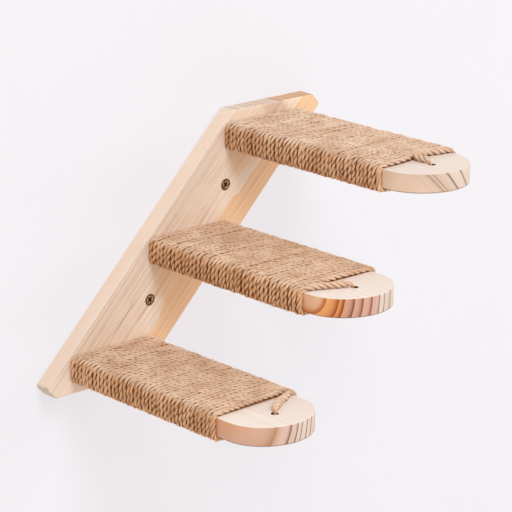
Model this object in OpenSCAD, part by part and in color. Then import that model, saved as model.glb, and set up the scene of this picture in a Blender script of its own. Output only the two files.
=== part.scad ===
// Wall-mounted cat ladder: a slanted pine plank carries three pine steps, and each step is
// wound with jute rope whose end goes into a small hole near the step's rounded nose.
// Millimetres. The origin is the centre of the plank's back, on the wall. +X runs along the
// wall to the right, +Z is up, and the steps stand out along -Y.

/* [Plank] */
// Width of the plank, square to its long edges
plank_w = 90; // [80:1:140]
// Thickness of the plank
plank_t = 18; // [14:1:26]
// Lean of the plank, measured up from the level
plank_lean = 45; // [35:1:65]
// Height of plank above the middle of the top step, and below the middle of the bottom step
plank_end = 24; // [20:1:60]
// Length that is trimmed off the long edge at each sharp corner
corner_trim = 15; // [5:1:25]

/* [Steps] */
// Distance from one step to the next along the plank
step_pitch = 136; // [115:1:180]
// Width of a step
step_w = 90; // [75:1:110]
// Thickness of a step
step_t = 18; // [16:1:25]
// How far a step stands out from the plank
step_reach = 255; // [200:1:320]
// Depth of the rounded nose
nose_depth = 41; // [25:1:50]
// Bevel along the edges of the wood
edge_bevel = 1.2; // [0.5:0.1:2.5]

/* [Rope] */
// Thickness of the rope where it is pulled flat on the wood
rope_t = 4.6; // [3:0.1:6]
// Width of a single rope, as it shows at its two ends
rope_w = 5; // [4:0.1:6]
// Bare wood from the winding to the nose of the top step
top_bare = 46; // [42:1:90]
// Bare wood from the winding to the nose of the middle step
middle_bare = 51; // [42:1:90]
// Bare wood from the winding to the nose of the bottom step
bottom_bare = 56; // [42:1:90]
// Distance from the nose to the hole that takes the rope's end
rope_hole_inset = 30; // [24:1:33]
// Depth of the holes that take the rope's two ends
rope_hole_depth = 13; // [8:0.5:14]
// Gap all round the rope in its hole
rope_room = 1; // [0.5:0.1:1.5]

/* [Wall screws] */
// Length of a wall screw
wall_screw_len = 60; // [50:1:80]
// Diameter of a wall screw
wall_screw_d = 6; // [4:0.1:6.4]
// Diameter of a wall screw's head
wall_head_d = 11; // [9:0.1:13]
// Length of a wall plug
plug_len = 40; // [30:1:60]
// Diameter of a wall plug
plug_d = 8; // [8:0.1:12]

/* [Step screws] */
// Length of a step screw
step_screw_len = 50; // [40:1:80]
// Diameter of a step screw
step_screw_d = 4; // [3:0.1:5.5]
// Diameter of a step screw's head
step_head_d = 8; // [7:0.1:10]
// Distance between the two screws of a step
step_screw_gap = 52; // [30:1:60]

/* [Hidden] */

pine = [0.93, 0.80, 0.62];
jute = [0.77, 0.61, 0.43];
dark_brass = [0.42, 0.35, 0.25];
zinc = [0.74, 0.73, 0.70];
nylon = [0.80, 0.80, 0.77];

// Radial gaps: a wall screw in the plank, a step screw in its wood, a screw in its plug
wall_screw_room = 0.2;
step_screw_room = 0.1;
plug_room = 0.1;
// How far a screw's head lies below the surface, the height of its straight rim, the gap
// under its cone, and the room round its rim
head_sink = 0.3;
head_rim = 0.5;
head_seat = 0.1;
mouth_room = 0.4;
// A screw's cross recess, as shares of its head's radius
cross_reach = 0.62;
cross_w = 0.24;
cross_depth = 0.5;
// Length of a screw's point, as a share of its diameter
point_share = 1;
// A shallow room behind the plank, so that a plug's rim can't hold it off the wall
relief_room = 0.5;
relief_depth = 1;
// A plug's slit, the share of its length that stays whole, and the chamfer at its far end
slit_w = 1.2;
whole_share = 0.3;
plug_chamfer = 0.6;
// Gap between the winding and the wood that it is wound on, and between it and the plank
rope_seat = 0.1;
first_gap = 0.2;
// Gap between two loops of the winding
loop_gap = 0.45;
// Loops that stand for the rope's forty or so turns, each a little under two turns wide
loops = 23;
// Share of a strand's width that lies flat
strand_flat = 0.62;
// How far the rope draws away from the winding on its last way up a step's side
top_lead = 0;
middle_lead = 5;
bottom_lead = 0;
// The rope's way over the bare nose, as shares of the way to the hole: across, and outward
top_route = [[0.5, 0.08], [0.24, 0.14], [0.1, 0.23], [0.03, 0.42]];
middle_route = [[0.75, 0.2], [0.5, 0.46], [0.2, 0.8]];
bottom_route = [[0.78, 0.2], [0.48, 0.43], [0.2, 0.7]];
// Radius of the rope's centre line where it turns down into its hole
rope_bend = rope_t / 2 + 0.7;
// Distance between the rope's end and the bottom of its hole
rope_end_gap = 1;
// Facets along the nose, and round a hole or a screw
nose_facets = 36;
round_fn = 48;
overcut = 1;

// Places of the steps and of the wall screws along the plank, from its middle
top_at = step_pitch;
middle_at = 0;
bottom_at = -step_pitch;
upper_screw_at = step_pitch / 2;
lower_screw_at = -step_pitch / 2;

// A place on the plank: v runs up along it, and u runs across it towards its lower edge
function on_plank(u, v) = [
    v * cos(plank_lean) + u * sin(plank_lean),
    v * sin(plank_lean) - u * cos(plank_lean),
];

module along_plank(v) {
    place = on_plank(0, v);
    translate([place[0], 0, place[1]]) children();
}

// A step is drawn from the middle of its end, on the plank's front
module on_step(v) {
    along_plank(v) translate([0, -plank_t, 0]) children();
}

left = -1;
right = 1;

module beside(side) {
    translate([side * step_screw_gap / 2, 0, 0]) children();
}

// The plank's height above and below its middle, and where a level end meets a line that
// runs along the plank, or one that runs across it
plank_rise = step_pitch * sin(plank_lean) + plank_end;
function v_at_end(u) = (plank_rise + u * cos(plank_lean)) / sin(plank_lean);
function u_at_end(v) = (v * sin(plank_lean) - plank_rise) / cos(plank_lean);

// The outline, with its level ends and its sharp corners trimmed square to the long edges
function plank_outline() =
    let (
        trim_at = v_at_end(plank_w / 2) - corner_trim,
        upper = [
            on_plank(plank_w / 2, trim_at),
            on_plank(u_at_end(trim_at), trim_at),
            on_plank(-plank_w / 2, v_at_end(-plank_w / 2)),
        ]
    )
    concat(upper, [for (p = upper) -p]);

// The plank's cross section, with its bevelled edges
function plank_section() =
    let (x = plank_w / 2, y = plank_t / 2, b = edge_bevel)
    [[x - b, -y], [x, b - y], [x, y - b], [x - b, y], [b - x, y], [-x, y - b], [-x, b - y], [b - x, -y]];

module plank_board() {
    intersection() {
        rotate([90, 0, 0]) linear_extrude(plank_t) polygon(plank_outline());
        rotate([0, 90 - plank_lean, 0]) translate([0, -plank_t / 2, 0])
            linear_extrude(4 * plank_rise, center = true) polygon(plank_section());
    }
}

module back_plank() {
    color(pine) difference() {
        plank_board();
        for (v = [upper_screw_at, lower_screw_at]) {
            on_step(v) screw_hole(plank_t, wall_screw_d, wall_screw_room, wall_head_d);
            along_plank(v) plug_relief();
        }
        for (v = [top_at, middle_at, bottom_at], side = [left, right])
            along_plank(v) beside(side) turn_to_room()
                screw_hole(plank_t, step_screw_d, step_screw_room, step_head_d);
    }
}

// Screws are drawn along +Y, from the surface that they are driven into. A step's screws
// come from the plank's back and point into the room.
module turn_to_room() {
    rotate([0, 0, 180]) children();
}

module turned(profile) {
    rotate([-90, 0, 0]) rotate_extrude($fn = round_fn) polygon(profile);
}

module screw_hole(depth, shank_d, room, head_d) {
    hole_r = shank_d / 2 + room;
    mouth_r = head_d / 2 + mouth_room;
    mouth_depth = head_sink + head_rim + head_seat - (mouth_r - head_d / 2);
    turned([
        [0, -overcut], [mouth_r, -overcut], [mouth_r, mouth_depth],
        [hole_r, mouth_depth + mouth_r - hole_r], [hole_r, depth + overcut], [0, depth + overcut],
    ]);
}

module plug_relief() {
    relief_r = plug_d / 2 + relief_room;
    turned([[0, -relief_depth], [relief_r, -relief_depth], [relief_r, overcut], [0, overcut]]);
}

module screw(length, shank_d, head_d) {
    shank_r = shank_d / 2;
    head_r = head_d / 2;
    rim_end = head_sink + head_rim;
    tip = head_sink + length;
    difference() {
        turned([
            [0, head_sink], [head_r, head_sink], [head_r, rim_end],
            [shank_r, rim_end + head_r - shank_r], [shank_r, tip - point_share * shank_d], [0, tip],
        ]);
        cross_recess(head_r);
    }
}

module cross_recess(head_r) {
    reach = cross_reach * head_r;
    width = cross_w * head_r;
    depth = cross_depth * head_r;
    for (turn = [45, 135])
        rotate([0, turn, 0]) translate([-reach, head_sink - overcut, -width / 2])
            cube([2 * reach, overcut + depth / 2, width]);
    turned([
        [0, head_sink - overcut], [width, head_sink - overcut], [width, head_sink],
        [width / 2, head_sink + depth], [0, head_sink + depth],
    ]);
}

module wall_screw() {
    screw(wall_screw_len, wall_screw_d, wall_head_d);
}

module step_screw() {
    turn_to_room() screw(step_screw_len, step_screw_d, step_head_d);
}

// A split nylon plug in the wall, from the plank's back inwards
module wall_plug() {
    bore_r = wall_screw_d / 2 + plug_room;
    plug_r = plug_d / 2;
    difference() {
        turned([
            [bore_r, 0], [plug_r, 0], [plug_r, plug_len - plug_chamfer],
            [plug_r - plug_chamfer, plug_len], [bore_r, plug_len],
        ]);
        translate([-slit_w / 2, whole_share * plug_len, -plug_r]) cube([slit_w, plug_len, plug_d]);
    }
}

// The steps, with holes for the rope's two ends and for the two screws

function nose_outline(inset) =
    let (half = step_w / 2 - inset, depth = nose_depth - inset)
    concat(
        [[half, 0]],
        [for (i = [0:nose_facets])
            let (a = 180 * i / nose_facets)
            [half * cos(a), nose_depth - step_reach - depth * sin(a)]],
        [[-half, 0]]
    );

module plain_step() {
    hull() {
        linear_extrude(step_t - 2 * edge_bevel, center = true) polygon(nose_outline(0));
        linear_extrude(step_t, center = true) polygon(nose_outline(edge_bevel));
    }
}

rope_hole_r = max(rope_w, rope_t) / 2 + rope_room;

module rope_hole() {
    translate([0, 0, step_t / 2 - rope_hole_depth])
        cylinder(h = rope_hole_depth + overcut, r = rope_hole_r, $fn = round_fn);
}

module step_board(wound) {
    pilot = head_sink + step_screw_len - plank_t;
    difference() {
        plain_step();
        translate([0, rope_hole_inset - step_reach, 0]) rope_hole();
        translate([0, -strand_out(0, wound), 0]) mirror([0, 0, 1]) rope_hole();
        for (side = [left, right])
            beside(side) translate([0, overcut, 0]) rotate([90, 0, 0])
                cylinder(h = pilot + overcut, r = step_screw_d / 2 + step_screw_room, $fn = round_fn);
    }
}

// The rope. One winding is one unbroken tube of six sides, given by its rings. A ring is
// [centre, half its width as a vector, half its thickness as a vector].

// The centre line's half width and half height round a step, with cut corners that keep the
// rope off the wood's bevel
turn_x = step_w / 2 + rope_seat + rope_t / 2;
turn_z = step_t / 2 + rope_seat + rope_t / 2;
turn_cut = rope_t * (1 - sqrt(0.5)) + edge_bevel;
flat_x = turn_x - turn_cut;
flat_z = turn_z - turn_cut;
cut_len = turn_cut * sqrt(2);
turn_len = 4 * (flat_x + flat_z + cut_len);

// The eight corners of a turn, from the middle of the underside towards +X: the place, the
// way that its ring stands out, and how much of the turn lies behind it
mitre = tan(22.5);
turn_corners = [
    [[flat_x, -turn_z], [mitre, -1], flat_x],
    [[turn_x, -flat_z], [1, -mitre], flat_x + cut_len],
    [[turn_x, flat_z], [1, mitre], flat_x + cut_len + 2 * flat_z],
    [[flat_x, turn_z], [mitre, 1], flat_x + 2 * cut_len + 2 * flat_z],
    [[-flat_x, turn_z], [-mitre, 1], 3 * flat_x + 2 * cut_len + 2 * flat_z],
    [[-turn_x, flat_z], [-1, mitre], 3 * flat_x + 3 * cut_len + 2 * flat_z],
    [[-turn_x, -flat_z], [-1, -mitre], 3 * flat_x + 3 * cut_len + 4 * flat_z],
    [[-flat_x, -turn_z], [-mitre, -1], 3 * flat_x + 4 * cut_len + 4 * flat_z],
];
corners = len(turn_corners);
// The corner where the rope comes up onto the top and leaves the winding
last_corner = 3;
last_turns = turn_corners[last_corner][2] / turn_len;

// The pitch and the width of the loops that fill a wound length
function loop_pitch(wound) = (wound - first_gap) / (loops + 0.5);
function loop_w(wound) = loop_pitch(wound) - loop_gap;

// The strand's width after n turns: a single rope at both ends, a full loop in between
function strand_w(n, wound) =
    let (
        first_w = rope_w + (loop_w(wound) - rope_w) * n / last_turns,
        last_w = rope_w + (loop_w(wound) - rope_w) * (loops + last_turns - n) / last_turns
    )
    min(loop_w(wound), first_w, last_w);

// The strand's distance from the plank after n turns: a narrow one keeps beside its neighbour
function strand_out(n, wound) =
    let (slack = (loop_w(wound) - strand_w(n, wound)) / 2)
    first_gap + loop_w(wound) / 2 + n * loop_pitch(wound) + (n < 1 ? slack : -slack);

function turn_ring(n, corner, wound, lead) =
    let (
        c = turn_corners[corner],
        turns = n + c[2] / turn_len,
        out = strand_out(turns, wound) + lead * max(0, turns - loops) / last_turns
    )
    [
        [c[0][0], -out, c[0][1]],
        [0, -strand_w(turns, wound) / 2, 0],
        [c[1][0], 0, c[1][1]] * rope_t / 2,
    ];

// The rope comes down out of its first hole and turns along the underside
function first_rings(wound) =
    let (out = -strand_out(0, wound), inside = rope_hole_depth - rope_end_gap - step_t / 2)
    [
        [[0, out, inside], [0, -rope_w / 2, 0], [-1, 0, 0] * rope_t / 2],
        [[0, out, -turn_z], [0, -rope_w / 2, 0], [-1, 0, -1] * rope_t / 2],
    ];

function turn_rings(wound, lead) = concat(
    [for (n = [0:loops - 1], corner = [0:corners - 1]) turn_ring(n, corner, wound, lead)],
    [for (corner = [0:last_corner]) turn_ring(loops, corner, wound, lead)]
);

function unit(v) = v / norm(v);
function to_left(d) = [-d[1], d[0], 0];

// The rope runs over the bare nose along its route and turns down into its hole
function last_rings(wound, lead, route) =
    let (
        start = turn_ring(loops, last_corner, wound, lead)[0],
        hole = [0, rope_hole_inset - step_reach],
        chosen = [for (share = route) [share[0] * start[0], start[1] + share[1] * (hole[1] - start[1])]],
        places = concat([[start[0], start[1]]], chosen, [hole]),
        ways = [for (i = [0:len(route)]) unit(places[i + 1] - places[i])],
        ahead = [ways[len(route)][0], ways[len(route)][1], 0],
        side = to_left(ahead) * rope_w / 2,
        rise = [0, 0, 1],
        mouth = [hole[0], hole[1], turn_z],
        dip = rope_bend * (1 - sqrt(0.5))
    )
    concat(
        [for (i = [1:len(route)])
            let (before = to_left(ways[i - 1]), after = to_left(ways[i]))
            [
                [places[i][0], places[i][1], turn_z],
                (before + after) / (1 + before * after) * rope_w / 2,
                rise * rope_t / 2,
            ]],
        [
            [mouth - ahead * rope_bend, side, rise * rope_t / 2],
            [mouth - (ahead + rise) * dip, side, (ahead + rise) * sqrt(0.5) * rope_t / 2],
            [mouth - rise * rope_bend, side, ahead * rope_t / 2],
            [[hole[0], hole[1], step_t / 2 - rope_hole_depth + rope_end_gap], side, ahead * rope_t / 2],
        ]
    );

strand_section = [
    [1, 0], [strand_flat, 1], [-strand_flat, 1], [-1, 0], [-strand_flat, -1], [strand_flat, -1],
];
sides = len(strand_section);

function ring_points(ring) = [for (s = strand_section) ring[0] + s[0] * ring[1] + s[1] * ring[2]];

function distance_to_edge(p, a, b) =
    let (way = b - a, share = min(1, max(0, (p - a) * way / (way * way))))
    norm(p - a - share * way);

// The least gap between the rope and the turn before it, measured from each ring's points
function least_gap(rings) =
    let (
        points = [for (ring = rings) ring_points(ring)],
        last_loop_ring = len(first_rings(0)) + corners * loops + last_corner
    )
    min([for (i = [corners + 1:len(rings) - 1])
        let (before = min(i, last_loop_ring) - corners)
        for (k = [before - 1:before + 1], p = points[i], j = [0:sides - 1])
            distance_to_edge(p, points[k][j], points[k + 1][j])]);

module tube(rings) {
    last = len(rings) - 1;
    points = [for (ring = rings) each ring_points(ring)];
    walls = [for (i = [0:last - 1], j = [0:sides - 1])
        let (a = i * sides + j, b = i * sides + (j + 1) % sides)
        each [[a, a + sides, b + sides], [a, b + sides, b]]];
    first_cap = [for (j = [1:sides - 2]) [0, j, j + 1]];
    last_cap = [for (j = [1:sides - 2]) [last * sides, last * sides + j + 1, last * sides + j]];
    polyhedron(points, concat(walls, first_cap, last_cap));
}

// The length of each step that is wound
top_wound = step_reach - top_bare;
middle_wound = step_reach - middle_bare;
bottom_wound = step_reach - bottom_bare;

module winding(name, wound, lead, route) {
    rings = concat(first_rings(wound), turn_rings(wound, lead), last_rings(wound, lead, route));
    echo(str(name, " rope: the least gap to itself is ", least_gap(rings), " mm"));
    tube(rings);
}

// The sub-parts

module top_step() {
    color(pine) on_step(top_at) step_board(top_wound);
}

module middle_step() {
    color(pine) on_step(middle_at) step_board(middle_wound);
}

module bottom_step() {
    color(pine) on_step(bottom_at) step_board(bottom_wound);
}

module top_rope() {
    color(jute) on_step(top_at) winding("Top", top_wound, top_lead, top_route);
}

// The middle rope comes up on the left of its step, and the other two on the right
module middle_rope() {
    color(jute) on_step(middle_at)
        mirror([1, 0, 0]) winding("Middle", middle_wound, middle_lead, middle_route);
}

module bottom_rope() {
    color(jute) on_step(bottom_at) winding("Bottom", bottom_wound, bottom_lead, bottom_route);
}

module upper_wall_screw() {
    color(dark_brass) on_step(upper_screw_at) wall_screw();
}

module lower_wall_screw() {
    color(dark_brass) on_step(lower_screw_at) wall_screw();
}

module upper_wall_plug() {
    color(nylon) along_plank(upper_screw_at) wall_plug();
}

module lower_wall_plug() {
    color(nylon) along_plank(lower_screw_at) wall_plug();
}

module top_step_left_screw() {
    color(zinc) along_plank(top_at) beside(left) step_screw();
}

module top_step_right_screw() {
    color(zinc) along_plank(top_at) beside(right) step_screw();
}

module middle_step_left_screw() {
    color(zinc) along_plank(middle_at) beside(left) step_screw();
}

module middle_step_right_screw() {
    color(zinc) along_plank(middle_at) beside(right) step_screw();
}

module bottom_step_left_screw() {
    color(zinc) along_plank(bottom_at) beside(left) step_screw();
}

module bottom_step_right_screw() {
    color(zinc) along_plank(bottom_at) beside(right) step_screw();
}

back_plank();
top_step();
middle_step();
bottom_step();
top_rope();
middle_rope();
bottom_rope();
upper_wall_screw();
lower_wall_screw();
upper_wall_plug();
lower_wall_plug();
top_step_left_screw();
top_step_right_screw();
middle_step_left_screw();
middle_step_right_screw();
bottom_step_left_screw();
bottom_step_right_screw();
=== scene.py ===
"""Looks of a wall-mounted cat ladder.

A slanted pine plank carries three pine steps with rounded noses. Each step is wound with
jute rope, whose end runs over the bare nose into a small hole. Two antique brass screws in
nylon plugs hold the plank on the wall, and two zinc screws hold each step. The sizes are
those of the part's source, in millimetres, and the meshes are made in metres.
"""

import logging
from dataclasses import dataclass, field
from enum import Enum
from typing import Any, Callable, Sequence

import bpy
import numpy as np
from mathutils import Matrix, Vector
from mathutils.geometry import tessellate_polygon


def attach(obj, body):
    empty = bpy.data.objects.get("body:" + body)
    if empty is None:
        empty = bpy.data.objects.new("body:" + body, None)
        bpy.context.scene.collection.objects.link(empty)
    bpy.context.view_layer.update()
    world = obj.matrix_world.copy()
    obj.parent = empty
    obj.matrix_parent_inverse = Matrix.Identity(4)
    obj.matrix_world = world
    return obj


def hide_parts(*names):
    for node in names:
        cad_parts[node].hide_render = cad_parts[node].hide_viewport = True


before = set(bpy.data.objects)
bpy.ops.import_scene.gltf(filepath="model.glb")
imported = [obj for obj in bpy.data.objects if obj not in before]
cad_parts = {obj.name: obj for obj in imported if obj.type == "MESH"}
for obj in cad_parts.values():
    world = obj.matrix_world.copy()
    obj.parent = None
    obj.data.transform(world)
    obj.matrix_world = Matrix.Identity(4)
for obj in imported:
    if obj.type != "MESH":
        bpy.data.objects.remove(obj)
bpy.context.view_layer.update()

Array = np.ndarray
Pair = tuple[float, float]
Triple = tuple[float, float, float]
Colour = tuple[float, float, float, float]
Inputs = dict[str | int, Any]

MM = 0.001
BODY = "root"
log = logging.getLogger("cat_ladder")


class Side(Enum):
    """The side of a step, looking at the wall."""

    LEFT = -1
    RIGHT = 1


class Slot(Enum):
    """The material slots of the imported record."""

    PINE = "pine"
    JUTE = "jute"
    BRASS = "antique_brass"
    ZINC = "zinc"
    NYLON = "nylon"


class Socket(Enum):
    """Kinds of socket that a shader group takes in and puts out."""

    NUMBER = "NodeSocketFloat"
    VECTOR = "NodeSocketVector"


# Meshes


@dataclass
class Shell:
    """Points in millimetres, the faces that join them, and what the finish reads.

    A face is a row of four points, or of three and a last -1. `smooth` has one entry for
    each face, `values` one for each point, and `maps` one for each corner of each face.
    """

    points: Array
    faces: Array
    smooth: Array
    values: dict[str, Array] = field(default_factory=dict)
    maps: dict[str, Array] = field(default_factory=dict)

    def placed(self, turn: Array, place: Sequence[float]) -> "Shell":
        """Returns the shell turned by a matrix whose columns are its axes, then moved."""
        points = self.points @ np.asarray(turn, float).T + np.asarray(place, float)
        return Shell(points, self.faces, self.smooth, self.values, self.maps)

    def welded(self, grain: float = 1e-4) -> "Shell":
        """Joins the points that lie in one place, so that seams are closed.

        Args:
            grain: Points that are the same after rounding to this length are one point.

        Returns:
            The shell with each place held once, by the first point that lay there.
        """
        keys = np.round(self.points / grain).astype(np.int64)
        _, first, place = np.unique(keys, axis=0, return_index=True, return_inverse=True)
        place = place.reshape(-1)
        faces = np.where(self.faces >= 0, place[self.faces], -1)
        values = {name: value[first] for name, value in self.values.items()}
        return Shell(self.points[first], faces, self.smooth, values, self.maps)

    def as_object(self, name: str) -> bpy.types.Object:
        """Makes the mesh in metres and its object, which sits at the origin.

        Args:
            name: The name of the mesh and of the piece.

        Returns:
            The new object, in the scene.
        """
        mesh = bpy.data.meshes.new(name)
        held = self.faces >= 0
        corners = self.faces[held].astype(np.int32)
        counts = held.sum(axis=1)
        starts = np.concatenate([[0], np.cumsum(counts)[:-1]]).astype(np.int32)
        mesh.vertices.add(len(self.points))
        mesh.vertices.foreach_set("co", (self.points * MM).astype(np.float32).ravel())
        mesh.loops.add(len(corners))
        mesh.loops.foreach_set("vertex_index", corners)
        mesh.polygons.add(len(counts))
        mesh.polygons.foreach_set("loop_start", starts)
        mesh.polygons.foreach_set("use_smooth", self.smooth.astype(bool))
        for label, value in self.values.items():
            single = value.ndim == 1
            layer = mesh.attributes.new(label, "FLOAT" if single else "FLOAT_VECTOR", "POINT")
            part = "value" if single else "vector"
            layer.data.foreach_set(part, value.astype(np.float32).ravel())
        for label, value in self.maps.items():
            layer = mesh.uv_layers.new(name=label)
            layer.data.foreach_set("uv", value.astype(np.float32).ravel())
        mesh.update(calc_edges=True)
        mesh.validate()
        piece = bpy.data.objects.new(name, mesh)
        bpy.context.scene.collection.objects.link(piece)
        return piece


def joined(shells: Sequence[Shell]) -> Shell:
    """Puts shells into one, with their faces' numbers moved on.

    Args:
        shells: Shells that all have the same values and maps.

    Returns:
        One shell with all their points and faces, in their order.
    """
    starts = np.cumsum([0] + [len(shell.points) for shell in shells[:-1]])
    faces = [np.where(s.faces >= 0, s.faces + at, -1) for s, at in zip(shells, starts)]
    return Shell(
        np.concatenate([s.points for s in shells]),
        np.concatenate(faces),
        np.concatenate([s.smooth for s in shells]),
        {k: np.concatenate([s.values[k] for s in shells]) for k in shells[0].values},
        {k: np.concatenate([s.maps[k] for s in shells]) for k in shells[0].maps},
    )


def lattice(rows: int, columns: int, ring: bool = True, flip: bool = False) -> Array:
    """Quads of a grid of points that is numbered row by row.

    A quad joins a point, the next in its row, and the two after them in the next row.

    Args:
        rows: Number of rows.
        columns: Number of points in a row.
        ring: Whether the last point of a row joins the first.
        flip: Whether the faces look the other way.

    Returns:
        An array of four point numbers for each quad.
    """
    across = columns if ring else columns - 1
    here = np.arange(rows - 1)[:, None] * columns + np.arange(across)[None, :]
    beside = np.arange(rows - 1)[:, None] * columns + (np.arange(across)[None, :] + 1) % columns
    quads = np.stack([here, beside, beside + columns, here + columns], axis=-1).reshape(-1, 4)
    return quads[:, ::-1] if flip else quads


def fan(tip: int, rim: Array, flip: bool) -> Array:
    """Returns the triangles that join a point to the points of a ring.

    Args:
        tip: The point's number.
        rim: The numbers of the ring's points.
        flip: Whether the faces look the other way.

    Returns:
        Rows of three point numbers and -1.
    """
    ends = (np.roll(rim, -1), rim) if flip else (rim, np.roll(rim, -1))
    return np.stack([np.full_like(rim, tip), *ends, np.full_like(rim, -1)], axis=1)


def turned(profile: Array, angles: Array, radii: Array | None = None, flip: bool = False) -> Shell:
    """Turns a profile round the third axis, and closes it at a radius of nought.

    Row i and angle j give the point (r cos, r sin, h), where r is radii[i, j], or the
    profile's own radius. A first or last radius of nought becomes one pole.

    Args:
        profile: Rows of radius and height.
        angles: The angles of a row's points, in radians, rising.
        radii: A radius for each row and angle, where the section isn't round.
        flip: Whether the faces look the other way.

    Returns:
        The turned shell, smooth all over.
    """
    radii = np.repeat(profile[:, :1], len(angles), axis=1) if radii is None else radii
    first_pole, last_pole = profile[0, 0] == 0, profile[-1, 0] == 0
    body = slice(1 if first_pole else 0, len(profile) - 1 if last_pole else len(profile))
    heights = np.repeat(profile[body, 1:], len(angles), axis=1)
    spread = radii[body][..., None] * circle(angles)
    points = np.concatenate([spread, heights[..., None]], axis=-1).reshape(-1, 3)
    rows, columns = heights.shape
    faces = [lattice(rows, columns, flip=flip)]
    for is_pole, row, height, turn in (
        (first_pole, 0, profile[0, 1], not flip),
        (last_pole, rows - 1, profile[-1, 1], flip),
    ):
        if is_pole:
            faces.append(fan(len(points), row * columns + np.arange(columns), turn))
            points = np.concatenate([points, [[0, 0, height]]])
    faces = np.concatenate(faces)
    return Shell(points, faces, np.ones(len(faces), bool))


def even_angles(count: int) -> Array:
    """Returns that many angles, evenly spaced round a circle from nought."""
    return np.arange(count) * 2 * np.pi / count


def quarter_turn(count: int) -> Array:
    """Returns that many angles from nought to a quarter of a circle."""
    return np.linspace(0, np.pi / 2, count)


def circle(angles: Array) -> Array:
    """Returns the cosine and the sine of each angle, side by side."""
    return np.stack([np.cos(angles), np.sin(angles)], axis=-1)


def unit(vectors: Array) -> Array:
    """Returns each row of an array, brought to a length of one."""
    return vectors / np.linalg.norm(vectors, axis=-1, keepdims=True)


def filleted(corners: Array, radii: Sequence[float], steps: int = 6) -> tuple[Array, Array]:
    """Rounds the corners of an outline that bends to the left at each.

    An arc of radius r starts r tan(turn / 2) before its corner, and its points lie at
    centre + r n, where the outward direction n swings from one side's to the next's.

    Args:
        corners: The outline's corners, anticlockwise.
        radii: The radius at each corner.
        steps: Points along each arc, less one.

    Returns:
        The points of the rounded outline, and the outward direction at each.
    """
    before = unit(corners - np.roll(corners, 1, axis=0))
    after = np.roll(before, -1, axis=0)
    start_angle = np.arctan2(-before[:, 0], before[:, 1])
    turn = np.arctan2(
        before[:, 0] * after[:, 1] - before[:, 1] * after[:, 0], (before * after).sum(axis=1)
    )
    radius = np.asarray(radii, float)[:, None]
    to_left = np.stack([-before[:, 1], before[:, 0]], axis=1)
    centres = corners - before * radius * np.tan(turn / 2)[:, None] + to_left * radius
    angles = start_angle[:, None] + turn[:, None] * np.linspace(0, 1, steps + 1)
    outward = circle(angles)
    points = centres[:, None, :] + radius[:, None, :] * outward
    return points.reshape(-1, 2), outward.reshape(-1, 2)


@dataclass
class Hole:
    """A round hole in a board, by its place and its profile.

    The profile's rows are a radius and a depth below the face that the hole starts on. A
    last radius of nought closes it, and otherwise it comes out at the other face.
    """

    place: Pair
    profile: Sequence[Pair]
    from_top: bool = True
    facets: int = 40


def board(
    outline: Array, outward: Array, low: float, high: float, ease: float, holes: Sequence[Hole]
) -> Shell:
    """Builds a board with rounded edges and round holes.

    The side is a grid: outline point j is drawn in by the edge profile's inset i and lies
    at its height. Both faces are the inner outline, filled round the holes.

    Args:
        outline: Points of the outline, anticlockwise.
        outward: The outward direction at each.
        low: Height of the lower face.
        high: Height of the upper face.
        ease: Radius of the rounded edges.
        holes: The board's holes.

    Returns:
        The closed board, with heights along the third axis.
    """
    flat_rim = 0.4
    swing = quarter_turn(6)
    inset = ease * (1 - np.sin(swing))
    drop = ease * (1 - np.cos(swing))
    insets = np.concatenate([[ease + flat_rim], inset, inset[::-1], [ease + flat_rim]])
    heights = np.concatenate([[high], high - drop, low + drop[::-1], [low]])
    grid = outline[None, :, :] - outward[None, :, :] * insets[:, None, None]
    level = np.broadcast_to(heights[:, None, None], grid.shape[:2] + (1,))
    points = np.concatenate([grid, level], axis=-1).reshape(-1, 3)
    sides = lattice(len(insets), len(outline), flip=True)
    shells = [Shell(points, sides, np.ones(len(sides), bool))]
    walls = []
    for hole in holes:
        rows = np.array(hole.profile, float)
        rows[:, 1] = high - rows[:, 1] if hole.from_top else low + rows[:, 1]
        wall = turned(rows, even_angles(hole.facets), flip=not hole.from_top)
        walls.append(wall.placed(np.eye(3), (*hole.place, 0)))
    for height, upward in ((high, True), (low, False)):
        loops = [points[: len(outline)] if upward else points[-len(outline):]]
        for hole, wall in zip(holes, walls):
            for row in (wall.points[: hole.facets], wall.points[-hole.facets:]):
                if np.allclose(row[:, 2], height):
                    loops.append(row)
        shells.append(filled(loops, upward))
    return joined(shells + walls).welded()


def filled(loops: Sequence[Array], upward: bool) -> Shell:
    """Fills a level outline round the holes in it with triangles.

    Args:
        loops: The outline's points, then those of each hole.
        upward: Whether the face looks up.

    Returns:
        The flat face.
    """
    points = np.concatenate(loops)
    triangles = tessellate_polygon([[Vector(p) for p in loop] for loop in loops])
    faces = np.full((len(triangles), 4), -1)
    faces[:, :3] = np.array(triangles)
    a, b, c = (points[faces[:, k]] for k in range(3))
    looks_up = np.cross(b - a, c - a)[:, 2] > 0
    wrong = looks_up != upward
    faces[wrong, :3] = faces[wrong, 2::-1]
    return Shell(points, faces, np.zeros(len(faces), bool))


# Shader nodes


def srgb(red: float, green: float, blue: float) -> Colour:
    """Returns a screen colour of 0 to 255 as a linear colour with full alpha."""
    share = np.array([red, green, blue]) / 255
    low, high = share / 12.92, ((share + 0.055) / 1.055) ** 2.4
    return (*(float(v) for v in np.where(share <= 0.04045, low, high)), 1.0)


def operator(name: str, swapped: bool = False) -> Callable[["Signal", Any], "Signal"]:
    """Returns an operator of signals, which adds one Math node.

    Args:
        name: The Math node's operation.
        swapped: Whether the other value comes first.

    Returns:
        The operator's method.
    """

    def apply(signal: "Signal", other: Any) -> "Signal":
        """Joins the signal with a number or another signal."""
        return signal.sheet.math(name, *((other, signal) if swapped else (signal, other)))

    return apply


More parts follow.
